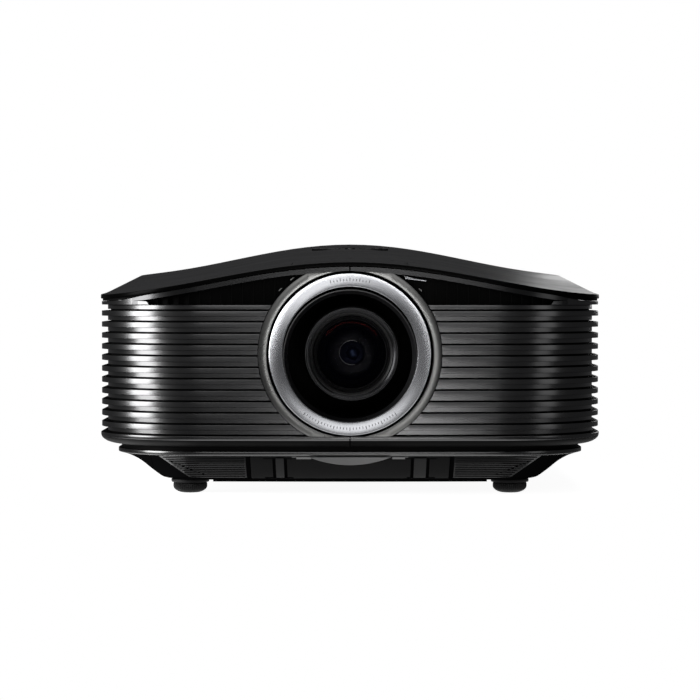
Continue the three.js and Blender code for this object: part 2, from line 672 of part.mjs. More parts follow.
// ---- Light engine ----
const ENGINE = { x: 46, front: -88, rear: -8, bottom: 66, top: 143, wall: 4 };
const WHEEL = { x: 70, y: -46, z: 96, radius: 24 };
const LAMP_Z = WHEEL.z + 13; // the lamp's beam crosses the wheel near its rim
function engineHousing() {
  const shell = box(-ENGINE.x, ENGINE.x, ENGINE.front, ENGINE.rear, ENGINE.bottom, ENGINE.top);
  const hollow = box(
    -ENGINE.x + ENGINE.wall,
    ENGINE.x - ENGINE.wall,
    ENGINE.front + ENGINE.wall,
    ENGINE.rear - ENGINE.wall,
    ENGINE.bottom + ENGINE.wall,
    ENGINE.top - ENGINE.wall,
  );
  const lensPort = rodY(30.6, ENGINE.front - 5, ENGINE.front + 8, LENS_X, LENS_Z, 32);
  const lightPort = rodX(9, ENGINE.x - 8, ENGINE.x + 5, WHEEL.y, LAMP_Z, 20);
  const chipPort = box(-16, 16, ENGINE.rear - 8, ENGINE.rear + 5, LENS_Z - 12, LENS_Z + 12);
  const legs = [-40, 30].map((x) => box(x, x + 10, ENGINE.front + 10, ENGINE.rear - 10, 14.3, 67));
  return join(cut(shell, hollow, lensPort, lightPort, chipPort), ...legs);
}
add("light_engine_housing", engineHousing(), ALUMINIUM);
add("imaging_board", box(-38, 38, ENGINE.rear + 0.4, ENGINE.rear + 2, 78, 137), BOARD);

// A heat sink: a base plate with upright fins behind it.
function heatsink() {
  const FINS = 7;
  const base = box(-24, 24, ENGINE.rear + 2.4, ENGINE.rear + 6, 84, 131);
  const fins = Array.from({ length: FINS }, (_, i) => {
    const x = -24 + (i * 46.5) / (FINS - 1);
    return box(x, x + 1.5, ENGINE.rear + 5, ENGINE.rear + 24, 84, 131);
  });
  return join(base, ...fins);
}
add("chip_heatsink", heatsink(), ALUMINIUM);

// The colour wheel turns about X between the lamp and the engine.
const wheelGroup = group(WHEEL.x, WHEEL.y, WHEEL.z);
const wheelDisc = join(rodX(WHEEL.radius, -0.6, 0.6, 0, 0, 32), rodX(8, -3, 3, 0, 0, 20));
add("colour_wheel", wheelDisc, GLASS, wheelGroup);
const wheelMotor = join(
  rodX(9, 3.6, 13, 0, 0, 20),
  box(5, 9, -12, 12, -82 + 0.6, -6),
);
add("colour_wheel_motor", wheelMotor, STEEL, wheelGroup);

// ---- Lamp ----
const LAMP = { x0: 92, x1: 158, y0: -84, y1: -4, z0: 76, z1: 142 };
function lampHousing() {
  const shell = box(LAMP.x0, LAMP.x1, LAMP.y0, LAMP.y1, LAMP.z0, LAMP.z1);
  const hollow = box(LAMP.x0 - 5, LAMP.x1 - 3, LAMP.y0 + 3, LAMP.y1 - 3, LAMP.z0 + 3, LAMP.z1 - 3);
  const vents = Array.from({ length: 5 }, (_, i) => {
    const z = LAMP.z0 + 10 + i * 10;
    return box(LAMP.x0 + 14, LAMP.x1 - 12, LAMP.y1 - 6, LAMP.y1 + 5, z, z + 5);
  });
  return cut(shell, hollow, ...vents);
}
add("lamp_housing", lampHousing(), MATTE_BLACK);

// A parabolic reflector about X, its mouth towards the colour wheel.
function reflector() {
  const [MOUTH, NECK, DEPTH, WALL, STEPS] = [27, 7, 40, 2.2, 4];
  const inside = [];
  const outside = [];
  for (let i = 0; i <= STEPS; i++) {
    const share = i / STEPS;
    const radius = NECK + (MOUTH - NECK) * Math.sqrt(share);
    inside.push([radius, DEPTH * share]);
    outside.unshift([radius + WALL, DEPTH * share - 0.5]);
  }
  return turned([...inside, ...outside], 20).rotate([0, 0, 90]);
}
const lampGroup = group(LAMP.x0 + 44, (LAMP.y0 + LAMP.y1) / 2, LAMP_Z);
add("lamp_reflector", reflector(), MIRROR, lampGroup);
const burner = join(rodX(4.6, -34, 12, 0, 0, 16), rodX(6.7, 4, 12, 0, 0, 16));
add("lamp_burner", burner, WHITE_PLASTIC, lampGroup);
const DOOR_GAP = 0.4;
const lampDoor = box(
  LAMP_DOOR.x0 + DOOR_GAP,
  LAMP_DOOR.x1 - DOOR_GAP,
  LAMP_DOOR.y0 + DOOR_GAP,
  LAMP_DOOR.y1 - DOOR_GAP,
  CASE_BOTTOM_Z + 0.2,
  CASE_BOTTOM_Z + CASE_FLOOR,
);
add("lamp_door", lampDoor, MATTE_BLACK);

// ---- Boards and power supply ----
add("main_board", box(-130, 130, 60, 205, 24, 25.6), BOARD);
add("power_supply", box(-130, -62, -70, 50, 18, 62), ALUMINIUM);

// ---- Fans ----
// A square frame with a hub held by three arms, and a seven-bladed rotor that turns about Y.
const FAN = { half: 40, bore: 38, depth: 25, hub: 15 };
function fanFrame() {
  const square = box(-FAN.half, FAN.half, 0, FAN.depth, -FAN.half, FAN.half);
  const ring = cut(square, rodY(FAN.bore, -1, FAN.depth + 1, 0, 0, 28));
  const arms = Array.from({ length: 3 }, (_, i) =>
    box(-2, 2, FAN.depth - 3, FAN.depth, 0, FAN.bore + 1).rotate([0, 120 * i, 0]),
  );
  return join(ring, rodY(FAN.hub, FAN.depth - 4, FAN.depth, 0, 0, 20), ...arms);
}

function fanRotor() {
  const BLADES = 7;
  const PITCH = 34;
  const middle = FAN.depth / 2 - 2;
  const blade = box(-1, 1, 2.5 - middle, FAN.depth - 6 - middle, FAN.hub - 3, FAN.bore - 1.5);
  const pitched = blade.rotate([0, 0, PITCH]).translate([0, middle, 0]);
  const blades = Array.from({ length: BLADES }, (_, i) => pitched.rotate([0, (360 * i) / BLADES, 0]));
  return join(rodY(FAN.hub, 1.5, FAN.depth - 4.5, 0, 0, 20), ...blades);
}
const EXHAUST = { x: 96, y: 205, z: 102 };
const INTAKE = { x: -100, y: -190, z: 98 };
const fanFrameShape = fanFrame();
const fanRotorShape = fanRotor();
for (const [name, place] of [["exhaust", EXHAUST], ["intake", INTAKE]]) {
  const fan = group(place.x, place.y, place.z);
  add(name + "_fan_frame", fanFrameShape, MATTE_BLACK, fan);
  add(name + "_fan_rotor", fanRotorShape, MATTE_BLACK, fan);
}

// ---- Rear panel and what it carries ----
const REAR_FRONT_Y = REAR_PANEL_Y - REAR_PANEL_THICK;
const INLET = { x: -122, z: 66, halfWidth: 13.6, halfHeight: 10 };
const SWITCH = { x: -90, z: 66, halfWidth: 10, halfHeight: 6.5 };
const BANK = { x: 18, z: 72, halfWidth: 82, halfHeight: 20 };

// A block with the outline of one of the places above, grown by a margin, between two depths.
function blockAt(place, margin, y0, y1) {
  const across = place.halfWidth + margin;
  const up = place.halfHeight + margin;
  return box(place.x - across, place.x + across, y0, y1, place.z - up, place.z + up);
}

const pocketFor = (place, margin) => blockAt(place, margin, REAR_FRONT_Y - 2, REAR_Y + 2);

function rearPanel() {
  const COLUMNS = 16;
  const outline = [[-REAR_PANEL_X, 38.6], [REAR_PANEL_X, 38.6]];
  for (let i = 0; i <= COLUMNS; i++) {
    const x = REAR_PANEL_X - (2 * REAR_PANEL_X * i) / COLUMNS;
    outline.push([x, coverZ(x, REAR_FRONT_Y) - COVER_THICK - 0.5]);
  }
  const vents = Array.from({ length: 9 }, (_, i) => {
    const z = EXHAUST.z - 0.5 + i * 7;
    return box(EXHAUST.x - 36, EXHAUST.x + 36, REAR_FRONT_Y - 2, REAR_Y + 2, z, z + 4);
  });
  const bezel = cut(
    blockAt(SWITCH, 0, REAR_FRONT_Y - 8, REAR_PANEL_Y + 1),
    box(SWITCH.x - 8, SWITCH.x + 8, REAR_FRONT_Y - 10, REAR_Y, SWITCH.z - 5, SWITCH.z + 5),
  );
  const body = cut(uprightPlate(outline, REAR_FRONT_Y, REAR_PANEL_Y), pocketFor(SWITCH, -1));
  return cut(join(body, bezel), ...vents, ...[INLET, BANK].map((place) => pocketFor(place, GAP)));
}
add("rear_panel", rearPanel(), MATTE_BLACK);

// The mains inlet: a socket with three flat pins, the middle one higher.
function acInlet() {
  const { x, z } = INLET;
  const body = blockAt(INLET, 0, REAR_FRONT_Y - 14, REAR_PANEL_Y + 1.2);
  const socket = box(x - 11, x + 11, REAR_FRONT_Y - 11, REAR_Y, z - 7, z + 7);
  const pins = [[-7, 0], [0, 2], [7, 0]].map(([across, up]) => {
    const px = x + across;
    const pz = z + up;
    return box(px - 1, px + 1, REAR_FRONT_Y - 12, REAR_PANEL_Y - 3, pz - 2, pz + 2);
  });
  return join(cut(body, socket), ...pins);
}
add("ac_inlet", acInlet(), GLOSS_BLACK);

// The rocker has a shallow V face and tilts about X inside its bezel.
const rockerProfile = [[-3.9, -1.5], [0, -2.6], [3.9, -1.5], [3.9, 2.6], [0, 1.6], [-3.9, 2.6]];
const rockerPlate = flatPlate(rockerProfile.map(([z, y]) => [y, z]), -7.4, 7.4);
const rockerShape = rockerPlate.rotate([0, 90, 0]).rotate([90, 0, 0]);
const ROCKER_TILT = THREE.MathUtils.degToRad(8); // it rests switched off, its upper edge pressed in
const rockerGroup = group(SWITCH.x, REAR_PANEL_Y - 2.8, SWITCH.z);
add("power_rocker", rockerShape, MATTE_BLACK, rockerGroup).rotation.x = ROCKER_TILT;

// Connector bank: a plate with sockets. The video sockets are open to the rear.
function connectorBank() {
  const { x, z } = BANK;
  const plateBody = blockAt(BANK, 0, REAR_FRONT_Y - 8, REAR_PANEL_Y - 1);
  const rootY = REAR_PANEL_Y - 1.5;
  const sockets = [-66, -44].map((offset) => {
    const left = x + offset - 7.5;
    return box(left, left + 15, REAR_FRONT_Y - 6, REAR_Y, z + 5, z + 10.5);
  });
  const rounds = Array.from({ length: 6 }, (_, i) =>
    tube(2.2, 4.6, rootY, REAR_Y - 0.5, 10).translate([x - 22 + i * 15, 0, z + 8]),
  );
  const shells = [-58, -20, 20].map((offset) => {
    const left = x + offset - 9;
    return box(left, left + 18, rootY, REAR_Y - 1, z - 13, z - 4);
  });
  const jack = tube(1.8, 4, rootY, REAR_Y - 1, 16).translate([x + 52, 0, z - 8]);
  return join(cut(plateBody, ...sockets), ...rounds, ...shells, jack);
}
add("connector_bank", connectorBank(), STEEL);

// ---- Feet ----
// A front foot: a stud that screws up and down in the case, and a knurled knob that turns on it.
function footKnob() {
  const RIDGES = 16;
  const points = [];
  for (let i = 0; i < RIDGES * 2; i++) {
    const angle = (Math.PI * i) / RIDGES;
    const radius = i % 2 ? 12.4 : 13;
    points.push([radius * Math.cos(angle), radius * Math.sin(angle)]);
  }
  const base = new THREE.CylinderGeometry(12.2, 9.5, 2.4, 28).rotateX(Math.PI / 2).translate(0, 0, 1.2);
  return cut(join(flatPlate(points, 2.2, 7.6), solid(base)), rodZ(4.4, 2.6, 9, 0, 0, 12));
}
const studShape = join(rodZ(14.5, 8, 10.6, 0, 0, 24), rodZ(4, 3, 44, 0, 0, 12));
const knobShape = footKnob();
const rearFootShape = rodZ(11, 0, CASE_BOTTOM_Z - GAP, 0, 0, 24);
for (const [name, side] of [["left", -1], ["right", 1]]) {
  const foot = group(side * FOOT_X, FRONT_FOOT_Y, 0);
  add(name + "_foot_stud", studShape, MATTE_BLACK, foot);
  add(name + "_foot_knob", knobShape, RUBBER, foot);
  add(name + "_rear_foot", rearFootShape, RUBBER, group(side * FOOT_X, REAR_FOOT_Y, 0));
}

export default projector;
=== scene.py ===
"""Looks for the home cinema projector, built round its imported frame.

Sizes are in millimetres until a mesh is made, in the frame's own axes: +Z up, the lens looks along -Y.
"""

import math

import bpy
from mathutils import Matrix, Vector


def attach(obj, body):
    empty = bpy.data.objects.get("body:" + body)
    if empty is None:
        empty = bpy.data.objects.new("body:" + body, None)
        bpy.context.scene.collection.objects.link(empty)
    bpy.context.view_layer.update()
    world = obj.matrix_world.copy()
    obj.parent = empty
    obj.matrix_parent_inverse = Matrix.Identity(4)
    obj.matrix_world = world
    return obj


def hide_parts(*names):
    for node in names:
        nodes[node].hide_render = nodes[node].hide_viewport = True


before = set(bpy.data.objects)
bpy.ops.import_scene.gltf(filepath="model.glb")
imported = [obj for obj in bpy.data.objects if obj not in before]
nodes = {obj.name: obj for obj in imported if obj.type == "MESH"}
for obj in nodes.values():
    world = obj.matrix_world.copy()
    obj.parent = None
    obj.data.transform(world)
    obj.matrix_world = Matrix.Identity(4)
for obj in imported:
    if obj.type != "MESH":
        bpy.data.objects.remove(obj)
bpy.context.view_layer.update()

MM = 0.001

# ---- Driving dimensions, as in the frame ----
HALF_WIDTH = 192
FRONT_Y = -244.5
REAR_Y = 246.5
FRONT_BOW = 2.5
CORNER_X = 87
CORNER_Y = 81
CORNER_START = math.radians(2.82)
REAR_RADIUS = 30
SEAM = 0.45

COVER_BASE_Z = 151.3
COVER_CREST = 24.6
COVER_WAVE = 205
COVER_SLOPE = 26.5
COVER_RISE_FROM = 0.08
COVER_RISE_FULL = 0.3
COVER_SIDE_LOSS = 0.15
COVER_THICK = 3.4

FIN_PITCH = 8.45
FIN_COUNT = 11
FIN_LAND = 3.9
SLOT = 1.2
SLOT_MIDDLE = 139.9
TOP_FIN_Z = 146.5
TOP_FIN_UNDER_Z = 143.9
OPENING_Z = 143.9
TRIM_TOP = 3.8
TRIM_UNDER = 7.3
LIP_TOP_Z = 46.4
LIP_BOTTOM_Z = 38.2
SHELL_WALL = 9
SHELL_REAR_X = 152

LENS_X = 1.2
LENS_Z = 107.4
RING_OUTER = 60
RING_INNER = 50
RING_FRONT_Y = -246.5
COLLAR_INNER = 61.8
COLLAR_OUTER = 68
COLLAR_FRONT_Y = -243.9
TUNNEL_DROP = 1.6
LENS = (LENS_X, 0, LENS_Z)
RING_CENTRE = (0, 0, LENS_Z)

CASE_BOTTOM_Z = 11
PANEL_X = 74.5
PANEL_THICK = 2.2
GRILLE_X = 150
PANEL_LOW_Z = 12.5
PANEL_HIGH_Z = 30.8
RIB_LOW_Z = 13.2
RIB_HIGH_Z = 29.4
GAP = 0.3
FOOT_X = 122.6
FRONT_FOOT_Y = -175
REAR_FOOT_Y = 185


# ---- Outline and wave ----
# Points along the bowed front, round the front corner and round the rear corner.
OUTLINE_STEPS = (10, 22, 8)


def half_outline(side, front=None, rear=None, straights=(1, 1)):
    """The right half of the plan outline, from the front middle to the rear middle, moved in."""
    front = side if front is None else front
    rear = side if rear is None else rear
    front_steps, corner_steps, rear_steps = OUTLINE_STEPS
    side_runs, rear_runs = straights
    ax = CORNER_X - side
    ay = CORNER_Y - front
    centre_x = HALF_WIDTH - CORNER_X
    centre_y = FRONT_Y + FRONT_BOW + CORNER_Y * math.cos(CORNER_START)
    start_x = centre_x + ax * math.sin(CORNER_START)
    start_y = centre_y - ay * math.cos(CORNER_START)
    points = []
    for i in range(front_steps):
        share = i / front_steps
        points.append((start_x * share, start_y - FRONT_BOW * (1 - share**2)))
    for i in range(corner_steps + 1):
        angle = CORNER_START + (i / corner_steps) * (math.pi / 2 - CORNER_START)
        points.append((centre_x + ax * math.sin(angle), centre_y - ay * math.cos(angle)))
    radius = max(12, REAR_RADIUS - 0.4 * side)
    side_x = HALF_WIDTH - side
    side_end = REAR_Y - rear - radius
    for i in range(1, side_runs):
        points.append((side_x, centre_y + (side_end - centre_y) * i / side_runs))
    for i in range(rear_steps + 1):
        angle = (i / rear_steps) * (math.pi / 2)
        points.append((side_x - radius * (1 - math.cos(angle)), side_end + radius * math.sin(angle)))
    for i in range(1, rear_runs + 1):
        points.append(((side_x - radius) * (1 - i / rear_runs), REAR_Y - rear))
    return points


def full_outline(side, front=None, rear=None, straights=(1, 1)):
    right = half_outline(side, front, rear, straights=straights)
    return right + [(-x, y) for x, y in reversed(right[1:-1])]


def front_at(inset, x):
    """How far forward the outline stands at one distance from the middle."""
    points = half_outline(inset)
    for (x0, y0), (x1, y1) in zip(points, points[1:]):
        if x0 <= x <= x1:
            return y0 + (y1 - y0) * (x - x0) / (x1 - x0)
    return points[-1][1]


def clamp(value, low, high):
    return max(low, min(high, value))


def cover_z(x, y):
    """The cover's upper surface: a wave across, and a rise to the rear."""
    crest = COVER_BASE_Z + COVER_CREST / 2 * (1 + math.cos(math.pi * x / COVER_WAVE))
    share = (y - FRONT_Y) / (REAR_Y - FRONT_Y)
    blend = COVER_RISE_FULL - COVER_RISE_FROM
    run = clamp(share - COVER_RISE_FROM, 0, blend)
    rise = run**2 / (2 * blend) + max(0, share - COVER_RISE_FULL)
    return crest + COVER_SLOPE * rise * (1 - COVER_SIDE_LOSS * (x / HALF_WIDTH) ** 2)


def trim_top_z(x, y):
    t = clamp((x - 150) / 38, 0, 1)
    to_side = 1 if y > 0 else t * t * (3 - 2 * t)
    high = cover_z(x, FRONT_Y) - TRIM_TOP
    return high + (TOP_FIN_Z - high) * to_side


# ---- Mesh tools ----
def link(name, mesh):
    piece = bpy.data.objects.new(name, mesh)
    bpy.context.scene.collection.objects.link(piece)
    return piece


def smooth(mesh, sharp_degrees=32):
    mesh.shade_smooth()
    mesh.set_sharp_from_angle(angle=math.radians(sharp_degrees))


def volume_sign(points, faces):
    total = 0.0
    for face in faces:
        a = Vector(points[face[0]])
        for j in range(1, len(face) - 1):
            total += a.dot(Vector(points[face[j]]).cross(Vector(points[face[j + 1]])))
    return total


def solid(name, points, faces, sharp_degrees=32):
    """A closed mesh from millimetre points, its faces turned outwards."""
    if volume_sign(points, faces) < 0:
        faces = [tuple(reversed(face)) for face in faces]
    mesh = bpy.data.meshes.new(name)
    mesh.from_pydata([[c * MM for c in point] for point in points], [], faces)
    mesh.update()
    smooth(mesh, sharp_degrees)
    return link(name, mesh)


def loft(name, loops, sharp_degrees=32, ends=True):
    """Closed loops with equal numbers of points, joined in order. Without ends the last meets the first."""
    count = len(loops[0])
    rows = len(loops)
    faces = []
    for row in range(rows - 1 if ends else rows):
        for k in range(count):
            a = row * count + k
            b = row * count + (k + 1) % count
            up = ((row + 1) % rows - row) * count
            faces.append((a, b, b + up, a + up))
    if ends:
        faces.append(tuple(reversed(range(count))))
        faces.append(tuple((rows - 1) * count + k for k in range(count)))
    return solid(name, [point for loop in loops for point in loop], faces, sharp_degrees)


def place_round(centre, axis, radius, along, angle):
    """A point at an angle round a line along Y or Z."""
    a = radius * math.cos(angle)
    b = radius * math.sin(angle)
    if axis == "Y":
        return (centre[0] + a, along, centre[2] + b)
    return (centre[0] + a, centre[1] + b, along)


def turned(name, section, centre=LENS, steps=96):
    """A ring turned about Y, from the (radius, y) points round its closed section."""
    loops = []
    for i in range(steps):
        angle = 2 * math.pi * i / steps
        loops.append([place_round(centre, "Y", r, y, angle) for r, y in section])
    return loft(name, loops, ends=False)


def rod(name, section, centre=LENS, axis="Y", steps=64, sharp_degrees=32):
    """A solid turned about an axis, from its (radius, along) points, flat at both ends."""
    loops = []
    for r, along in section:
        loops.append([place_round(centre, axis, r, along, 2 * math.pi * i / steps) for i in range(steps)])
    return loft(name, loops, sharp_degrees)


def upright(name, outline, y0, y1):
    """An outline of (x, z) points as a plate between two depths."""
    return loft(name, [[(x, y, z) for x, z in outline] for y in (y0, y1)])


def flat(name, outline, z0, z1):
    """An outline of (x, y) points as a slab between two heights."""
    return loft(name, [[(x, y, z) for x, y in outline] for z in (z0, z1)])


def block(name, x0, x1, y0, y1, z0, z1):
    return flat(name, [(x0, y0), (x1, y0), (x1, y1), (x0, y1)], z0, z1)


def settle(piece):
    """The piece's mesh with its modifiers worked in."""
    depsgraph = bpy.context.evaluated_depsgraph_get()
    mesh = bpy.data.meshes.new_from_object(piece.evaluated_get(depsgraph))
    old = piece.data
    piece.modifiers.clear()
    piece.data = mesh
    bpy.data.meshes.remove(old)
    smooth(mesh)
    return piece


def combine(piece, tool, operation):
    """A boolean with one tool, which is used up."""
    modifier = piece.modifiers.new("boolean", "BOOLEAN")
    modifier.operation = operation
    modifier.solver = "MANIFOLD"
    modifier.object = tool
    settle(piece)
    bpy.data.objects.remove(tool)
    return piece


def cut(piece, *tools):
    for tool in tools:
        combine(piece, tool, "DIFFERENCE")
    return piece


def join(piece, *tools):
    for tool in tools:
        combine(piece, tool, "UNION")
    return piece


def mirrored(piece, name):
    """The same mesh across the middle plane."""
    mesh = piece.data.copy()
    mesh.name = name
    for vertex in mesh.vertices:
        vertex.co.x = -vertex.co.x
    mesh.flip_normals()
    smooth(mesh)
    return link(name, mesh)


def rounded(piece, width, segments=2):
    """Eased edges on a rigid piece."""
    modifier = piece.modifiers.new("eased edges", "BEVEL")
    modifier.width = width * MM
    modifier.segments = segments
    modifier.limit_method = "ANGLE"
    modifier.angle_limit = math.radians(35)
    modifier.harden_normals = True
    return piece


def show(piece, body, slot, look, *stands_for):
    """Puts a finished piece on its body, with its look, and hides the nodes it stands for; its slot is not
    used.
    """
    if look is not None:
        piece.data.materials.clear()
        piece.data.materials.append(LOOKS[look])
    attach(piece, body)
    if stands_for:
        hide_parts(*stands_for)
    return piece


# ---- Materials ----
def surface(
    name,
    color,
    roughness,
    metallic=0.0,
    grain=0.4,
    bump=0.02,
    shade=0.1,
    rough_spread=0.05,
    stretch=(1, 1, 1),
    specular=0.5,
    coat=0.0,
    anisotropic=0.0,
    alpha=1.0,
    glow=0.0,
):
    """A moulded, cast or painted surface, a little uneven in tint and gloss. Grain and bump: millimetres."""
    material = bpy.data.materials.new(name)
    material.use_nodes = True
    tree = material.node_tree
    bsdf = tree.nodes["Principled BSDF"]
    bsdf.inputs["Metallic"].default_value = metallic
    bsdf.inputs["Specular IOR Level"].default_value = specular
    bsdf.inputs["Coat Weight"].default_value = coat
    bsdf.inputs["Coat Roughness"].default_value = 0.05
    bsdf.inputs["Anisotropic"].default_value = anisotropic
    bsdf.inputs["Alpha"].default_value = alpha
    bsdf.inputs["Emission Color"].default_value = (1, 1, 1, 1)
    bsdf.inputs["Emission Strength"].default_value = glow

    place = tree.nodes.new("ShaderNodeTexCoord")
    scaled = tree.nodes.new("ShaderNodeMapping")
    scaled.inputs["Scale"].default_value = stretch
    tree.links.new(place.outputs["Object"], scaled.inputs["Vector"])

    fine = tree.nodes.new("ShaderNodeTexNoise")
    fine.inputs["Scale"].default_value = 1 / (grain * MM)
    fine.inputs["Detail"].default_value = 3
    tree.links.new(scaled.outputs["Vector"], fine.inputs["Vector"])
    broad = tree.nodes.new("ShaderNodeTexNoise")
    broad.inputs["Scale"].default_value = 22
    broad.inputs["Detail"].default_value = 5
    tree.links.new(place.outputs["Object"], broad.inputs["Vector"])

    tint = tree.nodes.new("ShaderNodeMapRange")
    tint.inputs["To Min"].default_value = 1 - shade
    tint.inputs["To Max"].default_value = 1 + shade
    tree.links.new(fine.outputs["Fac"], tint.inputs["Value"])
    base = tree.nodes.new("ShaderNodeVectorMath")
    base.operation = "SCALE"
    base.inputs[0].default_value = color
    tree.links.new(tint.outputs["Result"], base.inputs["Scale"])
    tree.links.new(base.outputs["Vector"], bsdf.inputs["Base Color"])

    gloss = tree.nodes.new("ShaderNodeMapRange")
    gloss.inputs["From Min"].default_value = 0.3
    gloss.inputs["From Max"].default_value = 0.7
    gloss.inputs["To Min"].default_value = max(0.02, roughness - rough_spread)
    gloss.inputs["To Max"].default_value = roughness + rough_spread
    tree.links.new(broad.outputs["Fac"], gloss.inputs["Value"])
    tree.links.new(gloss.outputs["Result"], bsdf.inputs["Roughness"])

    if bump > 0:
        relief = tree.nodes.new("ShaderNodeBump")
        relief.inputs["Strength"].default_value = 1.0
        relief.inputs["Distance"].default_value = bump * MM
        tree.links.new(fine.outputs["Fac"], relief.inputs["Height"])
        tree.links.new(relief.outputs["Normal"], bsdf.inputs["Normal"])
    return material


LOOKS = {
    "fins": surface("fin_satin", (0.115, 0.115, 0.116), 0.24, metallic=1.0, grain=0.9, bump=0.0008, shade=0.1,
                    rough_spread=0.015, stretch=(0.03, 0.03, 1)),
    "collar": surface("collar_satin", (0.17, 0.17, 0.166), 0.28, metallic=1.0, grain=0.4, bump=0.002,
                      shade=0.1, rough_spread=0.02),
    "cover": surface("cover_matte", (0.005, 0.005, 0.0055), 0.34, grain=0.35, bump=0.01, shade=0.2,
                     specular=0.22),
    # A black rim, also painted shade of the gap under the cover's edge.
    "edge": surface("edge_black_and_painted_gap_shade", (0.001, 0.001, 0.001), 0.3, grain=1.0, bump=0.001, specular=0.02),
    "gloss": surface("gloss_black", (0.002, 0.002, 0.0022), 0.22, grain=1.5, bump=0.002, specular=0.15),
    "satin": surface("satin_black", (0.002, 0.002, 0.0021), 0.4, grain=0.5, bump=0.005, specular=0.012),
    # Non-reflecting black: the case's own flanks, and painted shade on side walls and slots.
    "flank": surface("flank_black_and_painted_shade", (0.0015, 0.0015, 0.0016), 0.45, grain=0.5, bump=0.005, specular=0.0),
    "rib": surface("rib_black", (0.003, 0.003, 0.0032), 0.35, grain=0.5, bump=0.004, specular=0.04),
    "matte": surface("matte_black", (0.003, 0.003, 0.0032), 0.55, grain=0.4, bump=0.02, specular=0.12),
    # Near-black without sheen: black inner parts, and painted shade in slots and recesses.
    "deep": surface("deep_black_and_painted_shade", (0.0015, 0.0015, 0.0015), 0.6, grain=0.4, bump=0.01, specular=0.05),
    "silver": surface("turned_silver", (0.47, 0.475, 0.495), 0.25, metallic=1.0, grain=0.25, bump=0.0002,
                      shade=0.04, rough_spread=0.02, anisotropic=0.5),
    "lens_black": surface("lens_black", (0.006, 0.006, 0.0065), 0.3, grain=0.3, bump=0.004),
    "rubber": surface("soft_rubber", (0.006, 0.006, 0.006), 0.5, grain=0.5, bump=0.02, specular=0.1),
    "steel": surface("zinc_steel", (0.45, 0.46, 0.47), 0.32, metallic=1.0, grain=0.6, bump=0.01),
    "aluminium": surface("cast_aluminium", (0.6, 0.61, 0.62), 0.42, metallic=1.0, grain=0.8, bump=0.05),
    "board": surface("solder_mask", (0.01, 0.09, 0.03), 0.35, grain=1.2, bump=0.02, shade=0.3),
    "ceramic": surface("glazed_ceramic", (0.75, 0.74, 0.68), 0.3, grain=0.6, bump=0.01, shade=0.05),
    "mirror": surface("mirror_coat", (0.85, 0.84, 0.8), 0.06, metallic=1.0, grain=2.0, bump=0.0,
                      rough_spread=0.02),
    "strip": surface("rim_satin", (0.1, 0.1, 0.1), 0.24, metallic=1.0, grain=0.5, bump=0.0008, shade=0.06,
                     rough_spread=0.015),
    "grille": surface("grille_black", (0.003, 0.003, 0.0032), 0.25, grain=0.5, bump=0.004, specular=0.02),
    "key": surface("key_black", (0.006, 0.006, 0.0065), 0.4, grain=0.4, bump=0.004, specular=0.15),
    "mark": surface("printed_mark", (0.25, 0.25, 0.25), 0.6, grain=0.3, bump=0.002, shade=0.03, specular=0.1),
    # A darker copy of the fin satin: painted shade on the trim strip.
    "trim_painted_shade": surface("trim_satin_painted_shade", (0.065, 0.065, 0.066), 0.24, metallic=1.0, grain=0.9, bump=0.0008,
                    shade=0.1, rough_spread=0.015, stretch=(0.03, 0.03, 1)),
    # The chin's own satin, also the painted highlight on the tabs and the iris edge.
    "chin": surface("chin_satin_and_painted_highlight", (0.12, 0.12, 0.12), 0.3, metallic=1.0, grain=0.5, bump=0.0008, shade=0.06),
    "plate": surface("socket_plate", (0.06, 0.06, 0.062), 0.4, metallic=0.7, grain=0.5, bump=0.01),
    "hole": surface("socket_black", (0.002, 0.002, 0.002), 0.5, grain=0.5, bump=0.005, specular=0.2),
    "blue": surface("socket_blue", (0.01, 0.03, 0.2), 0.4, grain=0.5, bump=0.005),
    "green": surface("socket_green", (0.01, 0.14, 0.03), 0.4, grain=0.5, bump=0.005),
    "red": surface("socket_red", (0.25, 0.01, 0.01), 0.4, grain=0.5, bump=0.005),
    "yellow": surface("socket_yellow", (0.5, 0.35, 0.01), 0.4, grain=0.5, bump=0.005),
    "tick": surface("etched_tick", (0.12, 0.12, 0.125), 0.5, grain=0.3, bump=0.002, shade=0.05),
    "lens_rim": surface("lens_rim", (0.022, 0.022, 0.023), 0.3, metallic=0.9, grain=0.3, bump=0.002),
    "lens_band": surface("lens_band", (0.03, 0.03, 0.03), 0.35, metallic=0.7, grain=0.3, bump=0.004),
    "iris": surface("iris_black", (0.005, 0.005, 0.0055), 0.3, metallic=0.8, grain=0.4, bump=0.002),
    "inner_glass": surface("inner_glass", (0.007, 0.008, 0.014), 0.3, metallic=1.0, grain=3.0, bump=0.0,
                           rough_spread=0.01),
    # Bluish metal for a painted reflection spot in the lens.
    "painted_blue_reflection": surface("painted_blue_reflection", (0.05, 0.07, 0.14), 0.35, metallic=1.0, grain=3.0, bump=0.0,
                          rough_spread=0.01),
    # Dark red metal for a painted reflection in the lens.
    "red_reflection": surface("painted_red_reflection", (0.045, 0.007, 0.006), 0.3, metallic=1.0, grain=3.0, bump=0.0),
    "smoked": surface("smoked_window", (0.02, 0.001, 0.002), 0.08, grain=1.5, bump=0.0, coat=0.6),
    "glass": surface("coated_glass", (0.001, 0.001, 0.003), 0.05, grain=3.0, bump=0.0, specular=0.0,
                     rough_spread=0.01, alpha=0.3),
}


# ---- Camera, floor and light ----
CAMERA_LENS = 132.07
CAMERA_PLACE = (0, -2.1445, 0.155)
CAMERA_PITCH = math.radians(1.338)
FLOOR_HALF_WIDTH = 0.26
FLOOR_FRONT = -0.40
FLOOR_REAR = 0.36


def aim(thing, target):
    direction = Vector(target) - thing.location
    thing.rotation_euler = direction.to_track_quat("-Z", "Y").to_euler()


